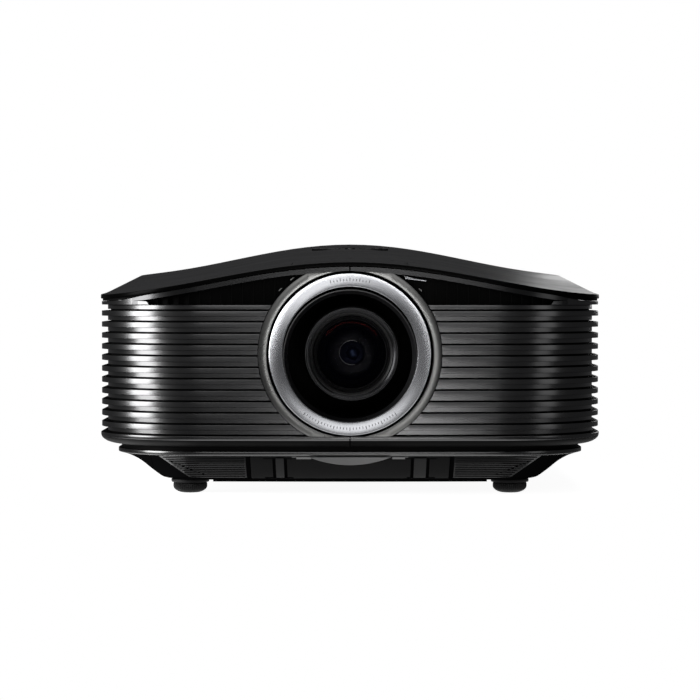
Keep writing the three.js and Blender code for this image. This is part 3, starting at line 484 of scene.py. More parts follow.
def add_camera():
    data = bpy.data.cameras.new("camera")
    data.lens = CAMERA_LENS
    data.sensor_width = 36
    camera = bpy.data.objects.new("camera", data)
    bpy.context.scene.collection.objects.link(camera)
    camera.location = CAMERA_PLACE
    camera.rotation_euler = (math.radians(90) - CAMERA_PITCH, 0, 0)
    bpy.context.scene.camera = camera


def add_panel(name, place, target, width, height, radiance):
    """A softbox of the given radiance."""
    data = bpy.data.lights.new(name, "AREA")
    data.shape = "RECTANGLE"
    data.size = width
    data.size_y = height
    data.energy = radiance * math.pi * width * height
    lamp = bpy.data.objects.new(name, data)
    bpy.context.scene.collection.objects.link(lamp)
    lamp.location = place
    aim(lamp, target)


def add_world():
    """White behind the object, and a dim studio all round it."""
    world = bpy.data.worlds.new("studio")
    bpy.context.scene.world = world
    world.use_nodes = True
    tree = world.node_tree
    background = tree.nodes["Background"]
    path = tree.nodes.new("ShaderNodeLightPath")
    backdrop = tree.nodes.new("ShaderNodeBackground")
    backdrop.inputs["Color"].default_value = (1, 1, 1, 1)
    backdrop.inputs["Strength"].default_value = 1.0
    background.inputs["Color"].default_value = (0.07, 0.07, 0.072, 1)
    background.inputs["Strength"].default_value = 1.0
    mix = tree.nodes.new("ShaderNodeMixShader")
    tree.links.new(path.outputs["Is Camera Ray"], mix.inputs["Fac"])
    tree.links.new(background.outputs["Background"], mix.inputs[1])
    tree.links.new(backdrop.outputs["Background"], mix.inputs[2])
    tree.links.new(mix.outputs["Shader"], tree.nodes["World Output"].inputs["Surface"])


def add_floor():
    """A pale, softly glowing oval, a little larger than the object."""
    steps = 72
    middle = (FLOOR_FRONT + FLOOR_REAR) / 2
    half_length = (FLOOR_REAR - FLOOR_FRONT) / 2
    rim = []
    for i in range(steps):
        angle = 2 * math.pi * i / steps
        rim.append((FLOOR_HALF_WIDTH * math.cos(angle), middle + half_length * math.sin(angle), 0))
    mesh = bpy.data.meshes.new("floor")
    mesh.from_pydata(rim, [], [tuple(range(steps))])
    floor = link("floor", mesh)
    material = surface("pale_floor", (0.5, 0.5, 0.5), 0.9, grain=4, bump=0.0, shade=0.01, specular=0.0,
                       glow=0.94)
    mesh.materials.append(material)


add_camera()
add_world()
add_floor()
bpy.context.scene.view_settings.view_transform = "Standard"
add_panel("key_left", (-1.93, -0.74, 0.6), (-0.15, -0.2, 0.1), 0.95, 1.3, 12.5)
add_panel("fill_right", (1.62, -1.1, 0.6), (0.15, -0.2, 0.1), 0.62, 1.3, 0.7)
add_panel("front_high", (-0.05, -1.6, 0.62), (0, -0.24, 0.1), 0.9, 0.45, 1.8)
add_panel("floor_glow", (0.05, -1.40, 0.004), (0.05, -1.40, 1), 0.22, 0.8, 13)
add_panel("near_glow", (0.05, -0.80, 0.003), (0.05, -0.80, 1), 0.15, 0.6, 2.1)
add_panel("left_glow", (-0.19, -0.2, 0.002), (-0.19, -0.2, 1), 0.12, 0.1, 2.0)
add_panel("overhead", (0.0, -0.1, 2.2), (0, 0, 0), 2.0, 1.8, 1.2)
add_panel("rear_high", (-0.3, 1.0, 1.8), (0, 0, 0.15), 1.6, 0.6, 0.8)
add_panel("rear_right", (0.42, 0.75, 0.26), (0.17, -0.1, 0.16), 0.4, 0.22, 2)


# ---- Fin shells ----
def moved_in(inset, further):
    return tuple(value + further for value in inset)


def slot_below(i):
    """The top and the bottom of one dark slot, counted down from the uppermost."""
    middle = SLOT_MIDDLE - i * FIN_PITCH
    return middle + SLOT / 2, middle - SLOT / 2


def in_slot(z):
    return any(low < z < high for high, low in map(slot_below, range(FIN_COUNT + 1)))


def fin_shell(name):
    """The right shell, from the front seam round to the rear panel."""
    proud = (0.7, 1.2, 0.9)
    back = (5.4, 2.0, 5.4)
    slot = (7.6, 5.0, 7.6)
    lip = (0, 0, 0.3)
    inner = (SHELL_WALL, SHELL_WALL, SHELL_WALL)
    first_slot = slot_below(0)[0]
    section = [(proud, None), (proud, TOP_FIN_UNDER_Z + 0.3), (moved_in(proud, 0.2), TOP_FIN_UNDER_Z),
               (moved_in(back, 0.05), TOP_FIN_UNDER_Z - 0.06), (back, TOP_FIN_UNDER_Z - 0.3),
               (back, first_slot + 0.2), (moved_in(back, 0.15), first_slot)]
    for i in range(FIN_COUNT):
        high, low = slot_below(i)
        foot = slot_below(i + 1)[0]
        under = low - FIN_LAND
        section += [
            (slot, high - 0.03),
            (slot, low + 0.03),
            (moved_in(proud, 0.2), low),
            (moved_in(proud, 0.04), low - 0.12),
            (proud, low - 0.35),
            (proud, under + 0.15),
            (moved_in(proud, 0.1), under),
            (back, under - 0.1),
            (back, foot + 0.2),
            (moved_in(back, 0.15), foot),
        ]
    high, low = slot_below(FIN_COUNT)
    section += [
        (slot, high - 0.03),
        (slot, LIP_TOP_Z + 0.03),
        (moved_in(lip, 0.3), LIP_TOP_Z),
        (moved_in(lip, 0.06), LIP_TOP_Z - 0.2),
        (lip, LIP_TOP_Z - 0.6),
        (lip, LIP_TOP_Z - 2.2),
    ]
    turned_under = [(0.25, 43.3), (1.0, 42.0), (2.3, 40.8), (4.2, 39.6), (6.4, 38.8),
                    (8.4, LIP_BOTTOM_Z + 0.1)]
    section += [(moved_in(lip, inset), z) for inset, z in turned_under]
    section += [(inner, LIP_BOTTOM_Z), (inner, None)]
    outlines = [half_outline(*inset) for inset, _ in section]
    stations = len(outlines[0])
    loops = []
    for k in range(stations):
        loop = []
        for i, (_, z) in enumerate(section):
            x, y = outlines[i][k]
            if k == 0:
                x = SEAM
            elif k == stations - 1:
                x = SHELL_REAR_X
            loop.append((x, y, trim_top_z(*outlines[0][k]) if z is None else z))
        loops.append(loop)
    return loft(name, loops)


def darken(piece, look, chosen):
    """A second look on the faces that a test picks by their middle in millimetres and their normal; mostly
    painted shade, and some painted highlights.
    """
    mesh = piece.data
    mesh.materials.append(LOOKS[look])
    index = len(mesh.materials) - 1
    for polygon in mesh.polygons:
        if chosen(polygon.center / MM, polygon.normal):
            polygon.material_index = index


def painted_shade_and_seam(middle, normal):
    """Painted shade in the slots, under the fins and under the lip; the seam at the middle is a dark joint.
    """
    if in_slot(middle.z) or middle.z < 40.9:
        return True
    return abs(middle.x) < SEAM + 0.2 or (normal.z < -0.35 and middle.z < TOP_FIN_UNDER_Z)


def opening_outline():
    """The upper opening, between the uppermost fin, the trim strip and the collar."""
    steps = 16
    end_x = 163
    low = math.asin((OPENING_Z - LENS_Z) / COLLAR_OUTER)
    high = math.radians(60.5)
    points = []
    for i in range(steps + 1):
        angle = high + (low - high) * i / steps
        points.append((COLLAR_OUTER * math.cos(angle), LENS_Z + COLLAR_OUTER * math.sin(angle)))
    points += [(150, OPENING_Z), (152, TOP_FIN_Z)]
    apex_x = points[0][0]
    for i in range(steps):
        x = end_x + (apex_x + 2 - end_x) * i / steps
        points.append((x, max(TOP_FIN_Z + 0.5, cover_z(x, FRONT_Y) - TRIM_UNDER)))
    return points


def above_lip(tool):
    keep = block("keep", -100, 100, FRONT_Y - 6, -190, LIP_TOP_Z, 200)
    return combine(tool, keep, "INTERSECT")


def under_trim(name, left):
    """Everything above the lip and under the trim strip, from one distance out from the middle."""
    outline = [(left, LIP_TOP_Z), (100, LIP_TOP_Z)]
    steps = 20
    for i in range(steps + 1):
        x = 100 + (left - 100) * i / steps
        outline.append((x, cover_z(x, FRONT_Y) - TRIM_UNDER))
    return upright(name, outline, FRONT_Y - 6, -200)


def collar_half(name):
    front = COLLAR_FRONT_Y
    section = [
        (COLLAR_INNER, front + 12),
        (COLLAR_INNER, front + 0.5),
        (COLLAR_INNER + 0.3, front + 0.1),
        (COLLAR_INNER + 0.7, front),
        (COLLAR_OUTER - 0.5, front + 0.16),
        (COLLAR_OUTER - 0.1, front + 0.32),
        (COLLAR_OUTER, front + 0.7),
        (COLLAR_OUTER, front + 12),
    ]
    band = turned(name, section, RING_CENTRE, steps=160)
    return combine(band, under_trim("under_trim", SEAM), "INTERSECT")


def build_shells():
    def bore(radius):
        return rod("bore", [(radius, FRONT_Y - 4), (radius, COLLAR_FRONT_Y + 14)], RING_CENTRE, steps=160)

    shell = fin_shell("right_shell")
    cut(shell, combine(bore(COLLAR_OUTER + 0.6), under_trim("under_trim", -2), "INTERSECT"))
    cut(shell, above_lip(bore(COLLAR_INNER)))
    cut(shell, upright("opening", opening_outline(), FRONT_Y - 4, -205))
    collar = collar_half("right_collar")
    show(shell, "root", "fins", "fins", "right_fin_shell")
    show(collar, "root", "fins", "collar")
    left_shell = mirrored(shell, "left_shell")
    show(left_shell, "root", "fins", "fins", "left_fin_shell")
    show(mirrored(collar, "left_collar"), "root", "fins", "collar")
    for piece in (shell, left_shell):
        # Painted shade: the trim strip under the cover's edge gets a darker copy of the fin satin.
        darken(piece, "trim_painted_shade", lambda middle, normal: middle.z > TOP_FIN_Z + 0.3)
        # Painted shade: slots, fin undersides and the lip's turned-under edge get the near-black look.
        darken(piece, "deep", painted_shade_and_seam)


build_shells()


# ---- Top cover ----
def cover_form(name):
    """The cover's closed shell, with its eased front and side edges."""
    rings = [(3.5, -COVER_THICK), (0.5, -COVER_THICK), (0.1, -COVER_THICK + 0.25), (0, -COVER_THICK + 0.7),
             (0, -0.75), (0.1, -0.3), (0.35, -0.06), (0.8, 0.0), (2.5, 0.0)]
    shares = [0.04, 0.09, 0.16, 0.25, 0.35, 0.46, 0.58, 0.7, 0.82, 0.92, 1.0]
    outlines = [full_outline(inset, straights=(10, 12)) for inset, _ in rings]
    count = len(outlines[0])
    points = []
    for outline, (_, lowered) in zip(outlines, rings):
        points += [(x, y, cover_z(x, y) + lowered) for x, y in outline]
    top_rows = [[len(points) - count + k for k in range(count)]]
    under_rows = [list(range(count))]
    for outline, lowered, rows in ((outlines[-1], 0, top_rows), (outlines[0], -COVER_THICK, under_rows)):
        for share in shares:
            row = []
            for x, y in outline:
                spine = clamp(y, FRONT_Y + 80, REAR_Y - 80)
                px = x * (1 - share)
                py = y + (spine - y) * share
                row.append(len(points))
                points.append((px, py, cover_z(px, py) + lowered))
            rows.append(row)
    side_rows = [[r * count + k for k in range(count)] for r in range(len(rings))]
    strips = list(zip(side_rows, side_rows[1:]))
    strips += list(zip(top_rows, top_rows[1:]))
    strips += [(b, a) for a, b in zip(under_rows, under_rows[1:])]
    faces = []
    for lower, upper in strips:
        for k in range(count):
            j = (k + 1) % count
            faces.append((lower[k], lower[j], upper[j], upper[k]))
    form = solid(name, points, faces)
    weld = form.modifiers.new("weld", "WELD")
    weld.merge_threshold = 0.00002
    return settle(form)


def stadium(half_length, radius, steps=20):
    """A slot-shaped outline, long across X."""
    points = []
    for side in (1, -1):
        for i in range(steps + 1):
            angle = side * (-math.pi / 2 + math.pi * i / steps)
            x = half_length - radius + radius * math.cos(angle)
            points.append((side * x, radius * math.sin(angle)))
    return points


def on_controls(piece):
    """Turns a flat piece made about the origin onto the sloping control panel."""
    turn = Matrix.Rotation(CONTROL_TILT, 4, "X")
    move = Matrix.Translation((0, CONTROL_Y * MM, cover_z(0, CONTROL_Y) * MM))
    piece.data.transform(move @ turn)
    return piece


def eased_slab(name, outline, z0, z1, ease, middle=(0, 0)):
    """An outline as a slab whose upper edge is rounded over."""
    mx, my = middle
    steps = 4
    loops = [[(mx + x, my + y, z0) for x, y in outline]]
    for i in range(steps + 1):
        angle = i / steps * math.pi / 2
        inward = ease * (1 - math.cos(angle))
        loop = []
        for x, y in outline:
            reach = math.hypot(x, y)
            scale = (reach - inward) / reach
            loop.append((mx + x * scale, my + y * scale, z1 - ease + ease * math.sin(angle)))
        loops.append(loop)
    return loft(name, loops)


LID_HALF_WIDTH = 46
LID_FRONT = -128
LID_REAR = -72
CONTROL_Y = 150
CONTROL_TILT = math.atan(COVER_SLOPE / (REAR_Y - FRONT_Y))
CONTROL_SUNK = 0.3
CONTROL_HALF_LENGTH = 34
CONTROL_RADIUS = 17
WINDOW_OFFSET = 15.2


def build_cover():
    """Matte above, with a dark edge (a black rim and painted shade of the gap under it), a skirt under each
    side, and openings for the lid and the controls.
    """
    cover = cover_form("cover_shell")
    lid_hole = block("lid_hole", -LID_HALF_WIDTH - GAP, LID_HALF_WIDTH + GAP, LID_FRONT - GAP, LID_REAR + 1.2,
                     100, 220)
    panel_hole = flat("panel_hole", stadium(CONTROL_HALF_LENGTH + GAP, CONTROL_RADIUS + GAP), -20, 20)
    cut(cover, lid_hole, on_controls(panel_hole))
    show(cover, "root", "cover", "cover", "top_cover")
    # The edge look: the black rim, and painted shade of the gap under the cover's edge.
    darken(cover, "edge", lambda middle, normal: normal.z < 0.5 and middle.y < CONTROL_Y - 30)

    # Painted shade: the walls round the control panel's opening get the non-reflecting black.
    def round_controls(middle, normal):
        return normal.z < 0.8 and abs(middle.x) < 60 and middle.y > 100

    darken(cover, "flank", round_controls)

    outer = half_outline(1.4, straights=(10, 1))[:-1]
    inner = half_outline(3.4, straights=(10, 1))[:-1]
    loops = []
    for (ox, oy), (ix, iy) in zip(outer, inner):
        top = cover_z(ox, oy) - COVER_THICK + 0.4
        foot = trim_top_z(ox, oy) + 0.3
        loops.append([(ox, oy, foot), (ox, oy, top), (ix, iy, top), (ix, iy, foot)])
    first_round = next(i for i, p in enumerate(outer) if p[0] > 130)
    skirt = loft("right_skirt", loops[first_round:])
    left_skirt = mirrored(skirt, "left_skirt")
    for piece in (skirt, left_skirt):
        show(piece, "root", "cover", "deep")


def build_lid():
    """The lens shift lid: it follows the wave, with eased edges and a finger scoop."""
    columns = 24
    rows = 8
    ease = 0.35
    thick = 3.0
    loops = []
    for column in range(columns + 1):
        x = -LID_HALF_WIDTH + 2 * LID_HALF_WIDTH * column / columns
        top = []
        for row in range(rows + 1):
            y = LID_FRONT + (LID_REAR - LID_FRONT) * row / rows
            top.append((x, y, cover_z(x, y) - 0.02))
        under = [(x, y, z - thick) for x, y, z in reversed(top)]
        loops.append(top + under)
    lid = rounded(loft("shift_lid", loops), ease, 3)
    settle(lid)
    scoop_z = cover_z(0, LID_FRONT) + 6.4
    scoop = rod("scoop", [(7.5, LID_FRONT - 3), (7.5, LID_FRONT + 4), (6.6, LID_FRONT + 5.5)],
                (0, 0, scoop_z), steps=48)
    cut(lid, scoop)
    show(lid, "shift_lid", "cover", "cover", "lens_shift_lid")


ARROW_OFFSET = 11
SYMBOL_RISE = 0.04


def arrow_outline(turn):
    corners = [(-4.5, -2.4), (4.5, -2.4), (2.2, 2.4), (-2.2, 2.4)]
    return [
        (x * math.cos(turn) - y * math.sin(turn), x * math.sin(turn) + y * math.cos(turn)) for x, y in corners
    ]


def symbol(name, body, outline, z, middle):
    """A printed mark on a button."""
    mx, my = middle
    mark = flat(name, [(mx + x, my + y) for x, y in outline], z - 0.2, z + SYMBOL_RISE)
    return show(on_controls(mark), body, "cover", "mark")


def triangle(size, turn):
    angles = [turn + math.radians(degrees) for degrees in (90, 210, -30)]
    return [(size * math.cos(angle), size * math.sin(angle)) for angle in angles]


def arc_band(radius, width, start, end, steps=20):
    """A part of a flat ring, between two angles in degrees."""
    angles = [math.radians(start + (end - start) * i / steps) for i in range(steps + 1)]
    points = []
    for reach, run in ((radius + width / 2, angles), (radius - width / 2, angles[::-1])):
        points += [(reach * math.cos(angle), reach * math.sin(angle)) for angle in run]
    return points


def bar(half_length, half_height, x=0, y=0):
    return [(x - half_length, y - half_height), (x + half_length, y - half_height),
            (x + half_length, y + half_height), (x - half_length, y + half_height)]


def build_controls():
    """The sunk gloss panel, eight keys that are pressed, and the status window."""
    top = -CONTROL_SUNK
    plate = eased_slab("control_plate", stadium(CONTROL_HALF_LENGTH, CONTROL_RADIUS), top - 2.2, top, 0.4)
    keys = {
        "enter": ((0, 0), stadium(4.6, 4.6)),
        "up": ((0, ARROW_OFFSET), arrow_outline(0)),
        "left": ((-ARROW_OFFSET, 0), arrow_outline(math.pi / 2)),
        "down": ((0, -ARROW_OFFSET), arrow_outline(math.pi)),
        "right": ((ARROW_OFFSET, 0), arrow_outline(-math.pi / 2)),
        "power": ((-24.5, 0), stadium(4.8, 4.8)),
        "menu": ((24, 5), stadium(5, 2.6)),
        "source": ((24, -5), stadium(5, 2.6)),
    }
    clearance = 0.4
    for key, ((x, y), outline) in keys.items():
        hole = [(x + px * (1 + clearance / math.hypot(px, py)), y + py * (1 + clearance / math.hypot(px, py)))
                for px, py in outline]
        cut(plate, flat("hole", hole, -10, 5))
    cut(plate, flat("hole", [(x, WINDOW_OFFSET + y) for x, y in stadium(7, 1.6)], -10, 5))
    show(on_controls(plate), "root", "gloss_black", "gloss", "control_panel")
    # Painted shade: the plate's sides and eased edges get the non-reflecting black.
    darken(plate, "flank", lambda middle, normal: normal.z < 0.93)

    key_top = -0.1
    for key, (middle, outline) in keys.items():
        cap = eased_slab(key + "_cap", outline, key_top - 3.4, key_top, 0.5, middle)
        show(on_controls(cap), key + "_key", "fins", "key", key + "_button")
        # Painted shade: the sides of each key get the non-reflecting black.
        darken(cap, "flank", lambda middle, normal: normal.z < 0.93)
    for turn, key in enumerate(("up", "left", "down", "right")):
        symbol(key + "_mark", key + "_key", triangle(1.1, turn * math.pi / 2), key_top, keys[key][0])
    symbol("enter_mark", "enter_key", arc_band(1.7, 0.35, 0, 359.5, 40), key_top, keys["enter"][0])
    symbol("power_mark", "power_key", arc_band(1.7, 0.4, 125, 415, 30), key_top, keys["power"][0])
    symbol("power_bar", "power_key", bar(0.2, 0.9, 0, 1.5), key_top, keys["power"][0])
    for i in range(3):
        symbol(f"menu_bar_{i}", "menu_key", bar(1.4, 0.16, 0, (i - 1) * 0.75), key_top, keys["menu"][0])
    symbol("source_bar", "source_key", bar(1.2, 0.16, -0.5, 0), key_top, keys["source"][0])
    symbol("source_tip", "source_key", triangle(0.7, -math.pi / 2), key_top, (keys["source"][0][0] + 1.2, -5))

    window = eased_slab("status_glass", stadium(6.7, 1.3), top - 2, top, 0.3, (0, WINDOW_OFFSET))
    show(on_controls(window), "root", "smoked", "smoked", "status_window")


build_cover()
build_lid()
build_controls()


# ---- Upper openings ----
def build_intakes():
    """A dark screen with upright vanes behind each upper opening, and clips and a bracket by the collar."""
    near_inset, far_inset = SHELL_WALL + 0.4, SHELL_WALL + 1.8
    near = half_outline(near_inset)
    far = half_outline(far_inset)
    loops = []
    for k in range(24):
        x, y = near[k]
        far_x, far_y = far[k]
        if k == 0:
            x = far_x = 20
        if 0 < k and x < 21:
            continue
        top = trim_top_z(x, y) - 1
        loops.append([(x, y, 138), (x, y, top), (far_x, far_y, top), (far_x, far_y, 138)])
    screen = loft("right_screen", loops)
    vane_half = 0.35
    vane_foot = OPENING_Z + 0.5
    for i in range(13):
        x = 48 + i * 8
        y = front_at(near_inset, x)
        top = cover_z(x, FRONT_Y) - TRIM_UNDER - 0.8
        if top - vane_foot > 3:
            join(screen, block("vane", x - vane_half, x + vane_half, y - 3.2, y + 0.8, vane_foot, top))
    clear = rod("clear", [(COLLAR_OUTER + 0.5, FRONT_Y), (COLLAR_OUTER + 0.5, -200)], RING_CENTRE, steps=96)
    cut(screen, clear)
    show(screen, "root", "matte_black", "deep", "right_intake_screen")
    show(mirrored(screen, "left_screen"), "root", "matte_black", "deep", "left_intake_screen")

    clips = {"clip_a": (127.4, 4.2), "clip_b": (137.0, 3.6), "clip_c": (42.3, 3.6), "clip_d": (53.5, 5.5)}
    for name, (degrees, length) in clips.items():
        angle = math.radians(degrees)
        radius = COLLAR_OUTER + 2.6
        half = length / 2
        corners = [(-half, -0.45), (half, -0.45), (half - 0.8, 0.45), (-half + 0.8, 0.45)]
        outline = []
        for along, out in corners:
            x = (radius + out) * math.cos(angle) - along * math.sin(angle)
            z = LENS_Z + (radius + out) * math.sin(angle) + along * math.cos(angle)
            outline.append((x, z))
        clip = rounded(upright(name, outline, FRONT_Y + 4, FRONT_Y + 11), 0.2)
        show(clip, "root", "fins", "collar")
    wedge = [(40.6, 163.2), (56.6, 161.3), (56.6, 162.2), (47.5, 163.6), (41.8, 165.2)]
    bracket = rounded(upright("trim_bracket", wedge, FRONT_Y + 3.5, FRONT_Y + 10), 0.2)
    show(bracket, "root", "fins", "silver")


build_intakes()


# ---- Silver ring ----
def ring_face_y(radius):
    """The ring's face slopes in towards the lens."""
    inner, outer = RING_INNER + 1.0, RING_OUTER - 1.3
    share = (radius - inner) / (outer - inner)
    return RING_FRONT_Y + 1.2 + (0.05 - 1.2) * share


def build_ring():
    section = [
        (RING_INNER, RING_FRONT_Y + 10),
        (RING_INNER, RING_FRONT_Y + 2.6),
        (RING_INNER + 0.25, RING_FRONT_Y + 1.6),
        (RING_INNER + 1.0, RING_FRONT_Y + 1.2),
        (RING_OUTER - 0.7, RING_FRONT_Y + 0.03),
        (RING_OUTER - 0.4, RING_FRONT_Y),
        (RING_OUTER - 0.1, RING_FRONT_Y + 0.2),
        (RING_OUTER, RING_FRONT_Y + 0.6),
        (RING_OUTER, RING_FRONT_Y + 10),
    ]
    ring = turned("silver_ring", section, RING_CENTRE, steps=192)
    show(ring, "root", "silver", "silver", "lens_bezel_ring")

    def tick(degrees, inner, outer, width):
        angle = math.radians(degrees)
        across = (-math.sin(angle) * width / 2, math.cos(angle) * width / 2)
        corners = []
        for radius, side in ((inner, -1), (inner, 1), (outer, 1), (outer, -1)):
            x = radius * math.cos(angle) + side * across[0]
            z = LENS_Z + radius * math.sin(angle) + side * across[1]
            corners.append((x, ring_face_y(radius), z))
        front = [(x, y - 0.03, z) for x, y, z in corners]
        back = [(x, y + 0.3, z) for x, y, z in corners]
        return front, back

    points = []
    faces = []
    marks = []
    for i in range(13):
        marks.append((75 + i * 2.5, 54.4, 56.6 if i % 3 == 0 else 55.8, 0.5))
    for i in range(31):
        marks.append((232.5 + i * 2.5, 54.2, 56.8 if i % 5 == 0 else 55.8, 0.55))
    for mark in marks:
        front, back = tick(*mark)
        base = len(points)
        points += front + back
        for face in ((0, 1, 2, 3), (7, 6, 5, 4), (0, 4, 5, 1), (1, 5, 6, 2), (2, 6, 7, 3), (3, 7, 4, 0)):
            faces.append(tuple(base + k for k in face))
    ticks = solid("ring_ticks", points, faces)
    show(ticks, "root", "matte_black", "tick")


build_ring()


# ---- Tunnel and lens ----
def build_tunnel():
    """The dark tunnel between the ring and the lens, with baffle steps inside."""
    section = [(49.6, -242.6), (48.9, -242.5), (47.7, -239.4), (46.6, -237.6), (46.3, -237.0), (46.5, -236.6)]
    y = -236.2
    while y < -205:
        section += [(47.2, y), (47.2, y + 1.6), (46.6, y + 2.2)]
        y += 2.6
    section += [(47.2, -200), (59.5, -200), (59.5, -202), (48.2, -202), (49.6, -236)]
    tunnel = turned("tunnel", section, (0, 0, LENS_Z - TUNNEL_DROP), steps=128)
    # Painted shade: past its mouth the tunnel gets the sheenless near-black; the mouth keeps the lens black.
    show(tunnel, "root", "matte_black", "deep", "lens_tunnel")
    darken(tunnel, "lens_black", lambda middle, normal: middle.y < -236.8)


def ridged_ring(name, inner, outer, y0, y1, ridges, depth, ease):
    """A ring with ridges cut along it for the fingers."""
    per_ridge = 6
    steps = ridges * per_ridge
    loops = []
    for i in range(steps):
        angle = 2 * math.pi * i / steps
        dip = depth * (0.5 - 0.5 * math.cos(2 * math.pi * i / per_ridge)) ** 2
        grip = outer - dip
        low = outer - depth
        section = [(inner, y0), (low - ease, y0), (low, y0 + ease), (grip, y0 + ease + depth),
                   (grip, y1 - ease - depth), (low, y1 - ease), (low - ease, y1), (inner, y1)]
        loops.append([place_round(LENS, "Y", r, y, angle) for r, y in section])
    return loft(name, loops, 40, ends=False)


def dome(radius, edge_y, bulge, steps):
    """(radius, y) points of a glass face, from its edge to near its middle."""
    points = []
    for i in range(steps + 1):
        r = radius * (1 - i / steps) if i < steps else radius * 0.02
        points.append((r, edge_y + bulge * (1 - (r / radius) ** 2)))
    return points


def arc_at_lens(name, band, y0, y1):
    """A thin part of a ring round the lens: radius, width, first and last angle."""
    outline = [(LENS_X + x, LENS_Z + z) for x, z in arc_band(*band, 40)]
    return upright(name, outline, y0, y1)


def build_lens():
    front = -238
    focus = turned("focus_sleeve", [
        (31.2, -215.5), (31.2, front + 1.9), (31.6, front + 1.5), (32.5, front + 0.75), (32.7, front + 1.6),
        (33.3, front + 1.6), (33.45, front + 0.15), (33.7, front), (34.4, front), (34.8, front + 0.4),
        (34.8, front + 2.2), (34.5, front + 2.5), (34.5, front + 3.1), (34.8, front + 3.4), (34.8, -215.5),
    ], steps=128)
    show(focus, "focus", "lens_black", "lens_rim", "focus_ring")

    barrel = turned("barrel", [
        (28.7, -96), (28.7, front + 4.2), (28.85, front + 3.6), (29.2, front + 3.1), (30.5, front + 1.7),
        (30.9, front + 1.8), (30.9, -215), (33.5, -214.6), (33.5, -133.5), (40.8, -133.1), (40.8, -130.2),
        (30, -130), (30, -96),
    ], steps=128)
    show(barrel, "lens_stage", "lens_black", "lens_band", "lens_barrel")

    zoom = ridged_ring("zoom_grip", 33.9, 36.4, -212, -194, 60, 0.5, 0.5)
    show(zoom, "zoom", "rubber", "rubber", "zoom_ring")

    cell = turned("front_cell", [
        (20.2, -208), (20.2, -210), (25.7, -210), (25.7, -232.4), (26.0, -232.9), (26.3, -232.7),
        (26.6, -232.1), (27.7, -232.1), (27.9, -233.2), (28.1, -233.5), (28.35, -233.2), (28.35, -208),
    ], steps=128)
    show(cell, "focus_cell", "lens_black", "lens_black", "front_lens_cell")
    # Painted shade: the flange and walls behind the front rim get the near-black look.
    darken(cell, "deep", lambda middle, normal: middle.y > -232.3)

    face = dome(25.4, -228.4, -5, 14)
    glass = rod("front_glass", face[::-1] + dome(25.4, -212.2, 3, 10), steps=96)
    show(glass, "focus_cell", "lens_glass", "glass", "front_element")

    group_face = dome(28.2, -182, -4, 12)
    group = rod("zoom_glass", group_face[::-1] + dome(28.2, -150, 4, 12), steps=80)
    show(group, "zoom_cell", "lens_glass", "inner_glass", "zoom_lens_group")

    stop = turned("iris_stop", [
        (10.2, -190.2), (9.6, -190.9), (9.5, -191.3), (9.8, -191.7), (10.6, -191.8), (25.5, -190.6),
        (27.8, -189.0), (27.8, -188.2), (12, -188.6),
    ], steps=96)
    show(stop, "zoom_cell", "lens_black", "iris")
    # Painted highlight: a pale arc on part of the iris edge, in the chin's satin.
    edge = arc_at_lens("iris_painted_highlight", (9.2, 0.5, 62, 285), -192.1, -191.7)
    show(edge, "zoom_cell", "lens_black", "chin")
    # Painted reflection: a small bluish metal bead stands for the coated glass's reflection spot.
    bead = [(r, -187.2 - (1.6 - 1.6 * (r / 5.0) ** 2)) for r in (0.1, 1, 2, 3, 4, 5.0)]
    bead.append((5.0, -186))
    bead.append((0.1, -186))
    spot = rod("painted_blue_reflection", bead, (LENS_X + 1.0, 0, LENS_Z - 0.8), steps=48)
    show(spot, "zoom_cell", "lens_glass", "painted_blue_reflection")

    # Painted reflection: a dark red arc over the top of the front cell stands for the coating's reddish
    # reflection.
    sheen = arc_at_lens("red_reflection_arc", (23.4, 1.1, 35, 145), -211.4, -210.6)
    show(sheen, "focus_cell", "lens_glass", "red_reflection")


build_tunnel()
build_lens()


# ---- Bottom case ----
CASE_TOP_Z = 44
FLANK_TOP_Z = 31.1
CASE_FLOOR_Z = 14
CASE_WALL = PANEL_THICK + 1.6
CEILING_PAD = (-65, 55, -70, 110)
PAD_HOLE_INSET = 10
LAMP_DOOR_HOLE = (62, 132, -60, 30)

# Levels of the case's outer form: height, then how far in its side, front and rear stand.
STRIP_LEVELS = [
    (34.7, 15.4, 11.2, 15.4), (34.5, 14.1, 9.6, 14.1), (34.3, 13.6, 9.1, 13.6), (34.0, 13.5, 9, 13.5),
    (31.7, 13.5, 9, 13.5), (31.35, 13.65, 9.15, 13.65), (31.2, 14.2, 9.7, 14.2), (31.2, 16.4, 12.4, 16.4),
    (34.7, 16.4, 12.4, 16.4),
]
RIM_LEVELS = [(CASE_TOP_Z, 16, 12, 16), (37.5, 16, 12, 16), (34.6, 16, 12, 16), (31.3, 16, 12, 16)]
FLANK_LEVELS = [
    (FLANK_TOP_Z, 15, 10, 14.2), (28.9, 22.2, 13, 15), (24.4, 30.5, 20, 17.5), (17.8, 38.7, 31, 22),
    (12.6, 45.6, 40.6, 25.6), (11.2, 48.6, 44.4, 27.2), (CASE_BOTTOM_Z, 50.5, 46, 28),
]


def smooth_levels(levels, steps):
    """More levels between the given ones, on a curve through them."""
    made = []
    last = len(levels) - 1
    for i in range(last):
        p0, p1 = levels[max(0, i - 1)], levels[i]
        p2, p3 = levels[i + 1], levels[min(last, i + 2)]
        for j in range(steps):
            t = j / steps
            level = []
            for a, b, c, d in zip(p0, p1, p2, p3):
                bend = (2 * a - 5 * b + 4 * c - d) * t**2
                twist = (3 * b - a - 3 * c + d) * t**3
                level.append(0.5 * (2 * b + (c - a) * t + bend + twist))
            made.append(tuple(level))
    made.append(levels[-1])
    return made


CASE_LEVELS = RIM_LEVELS + smooth_levels(FLANK_LEVELS, 4)


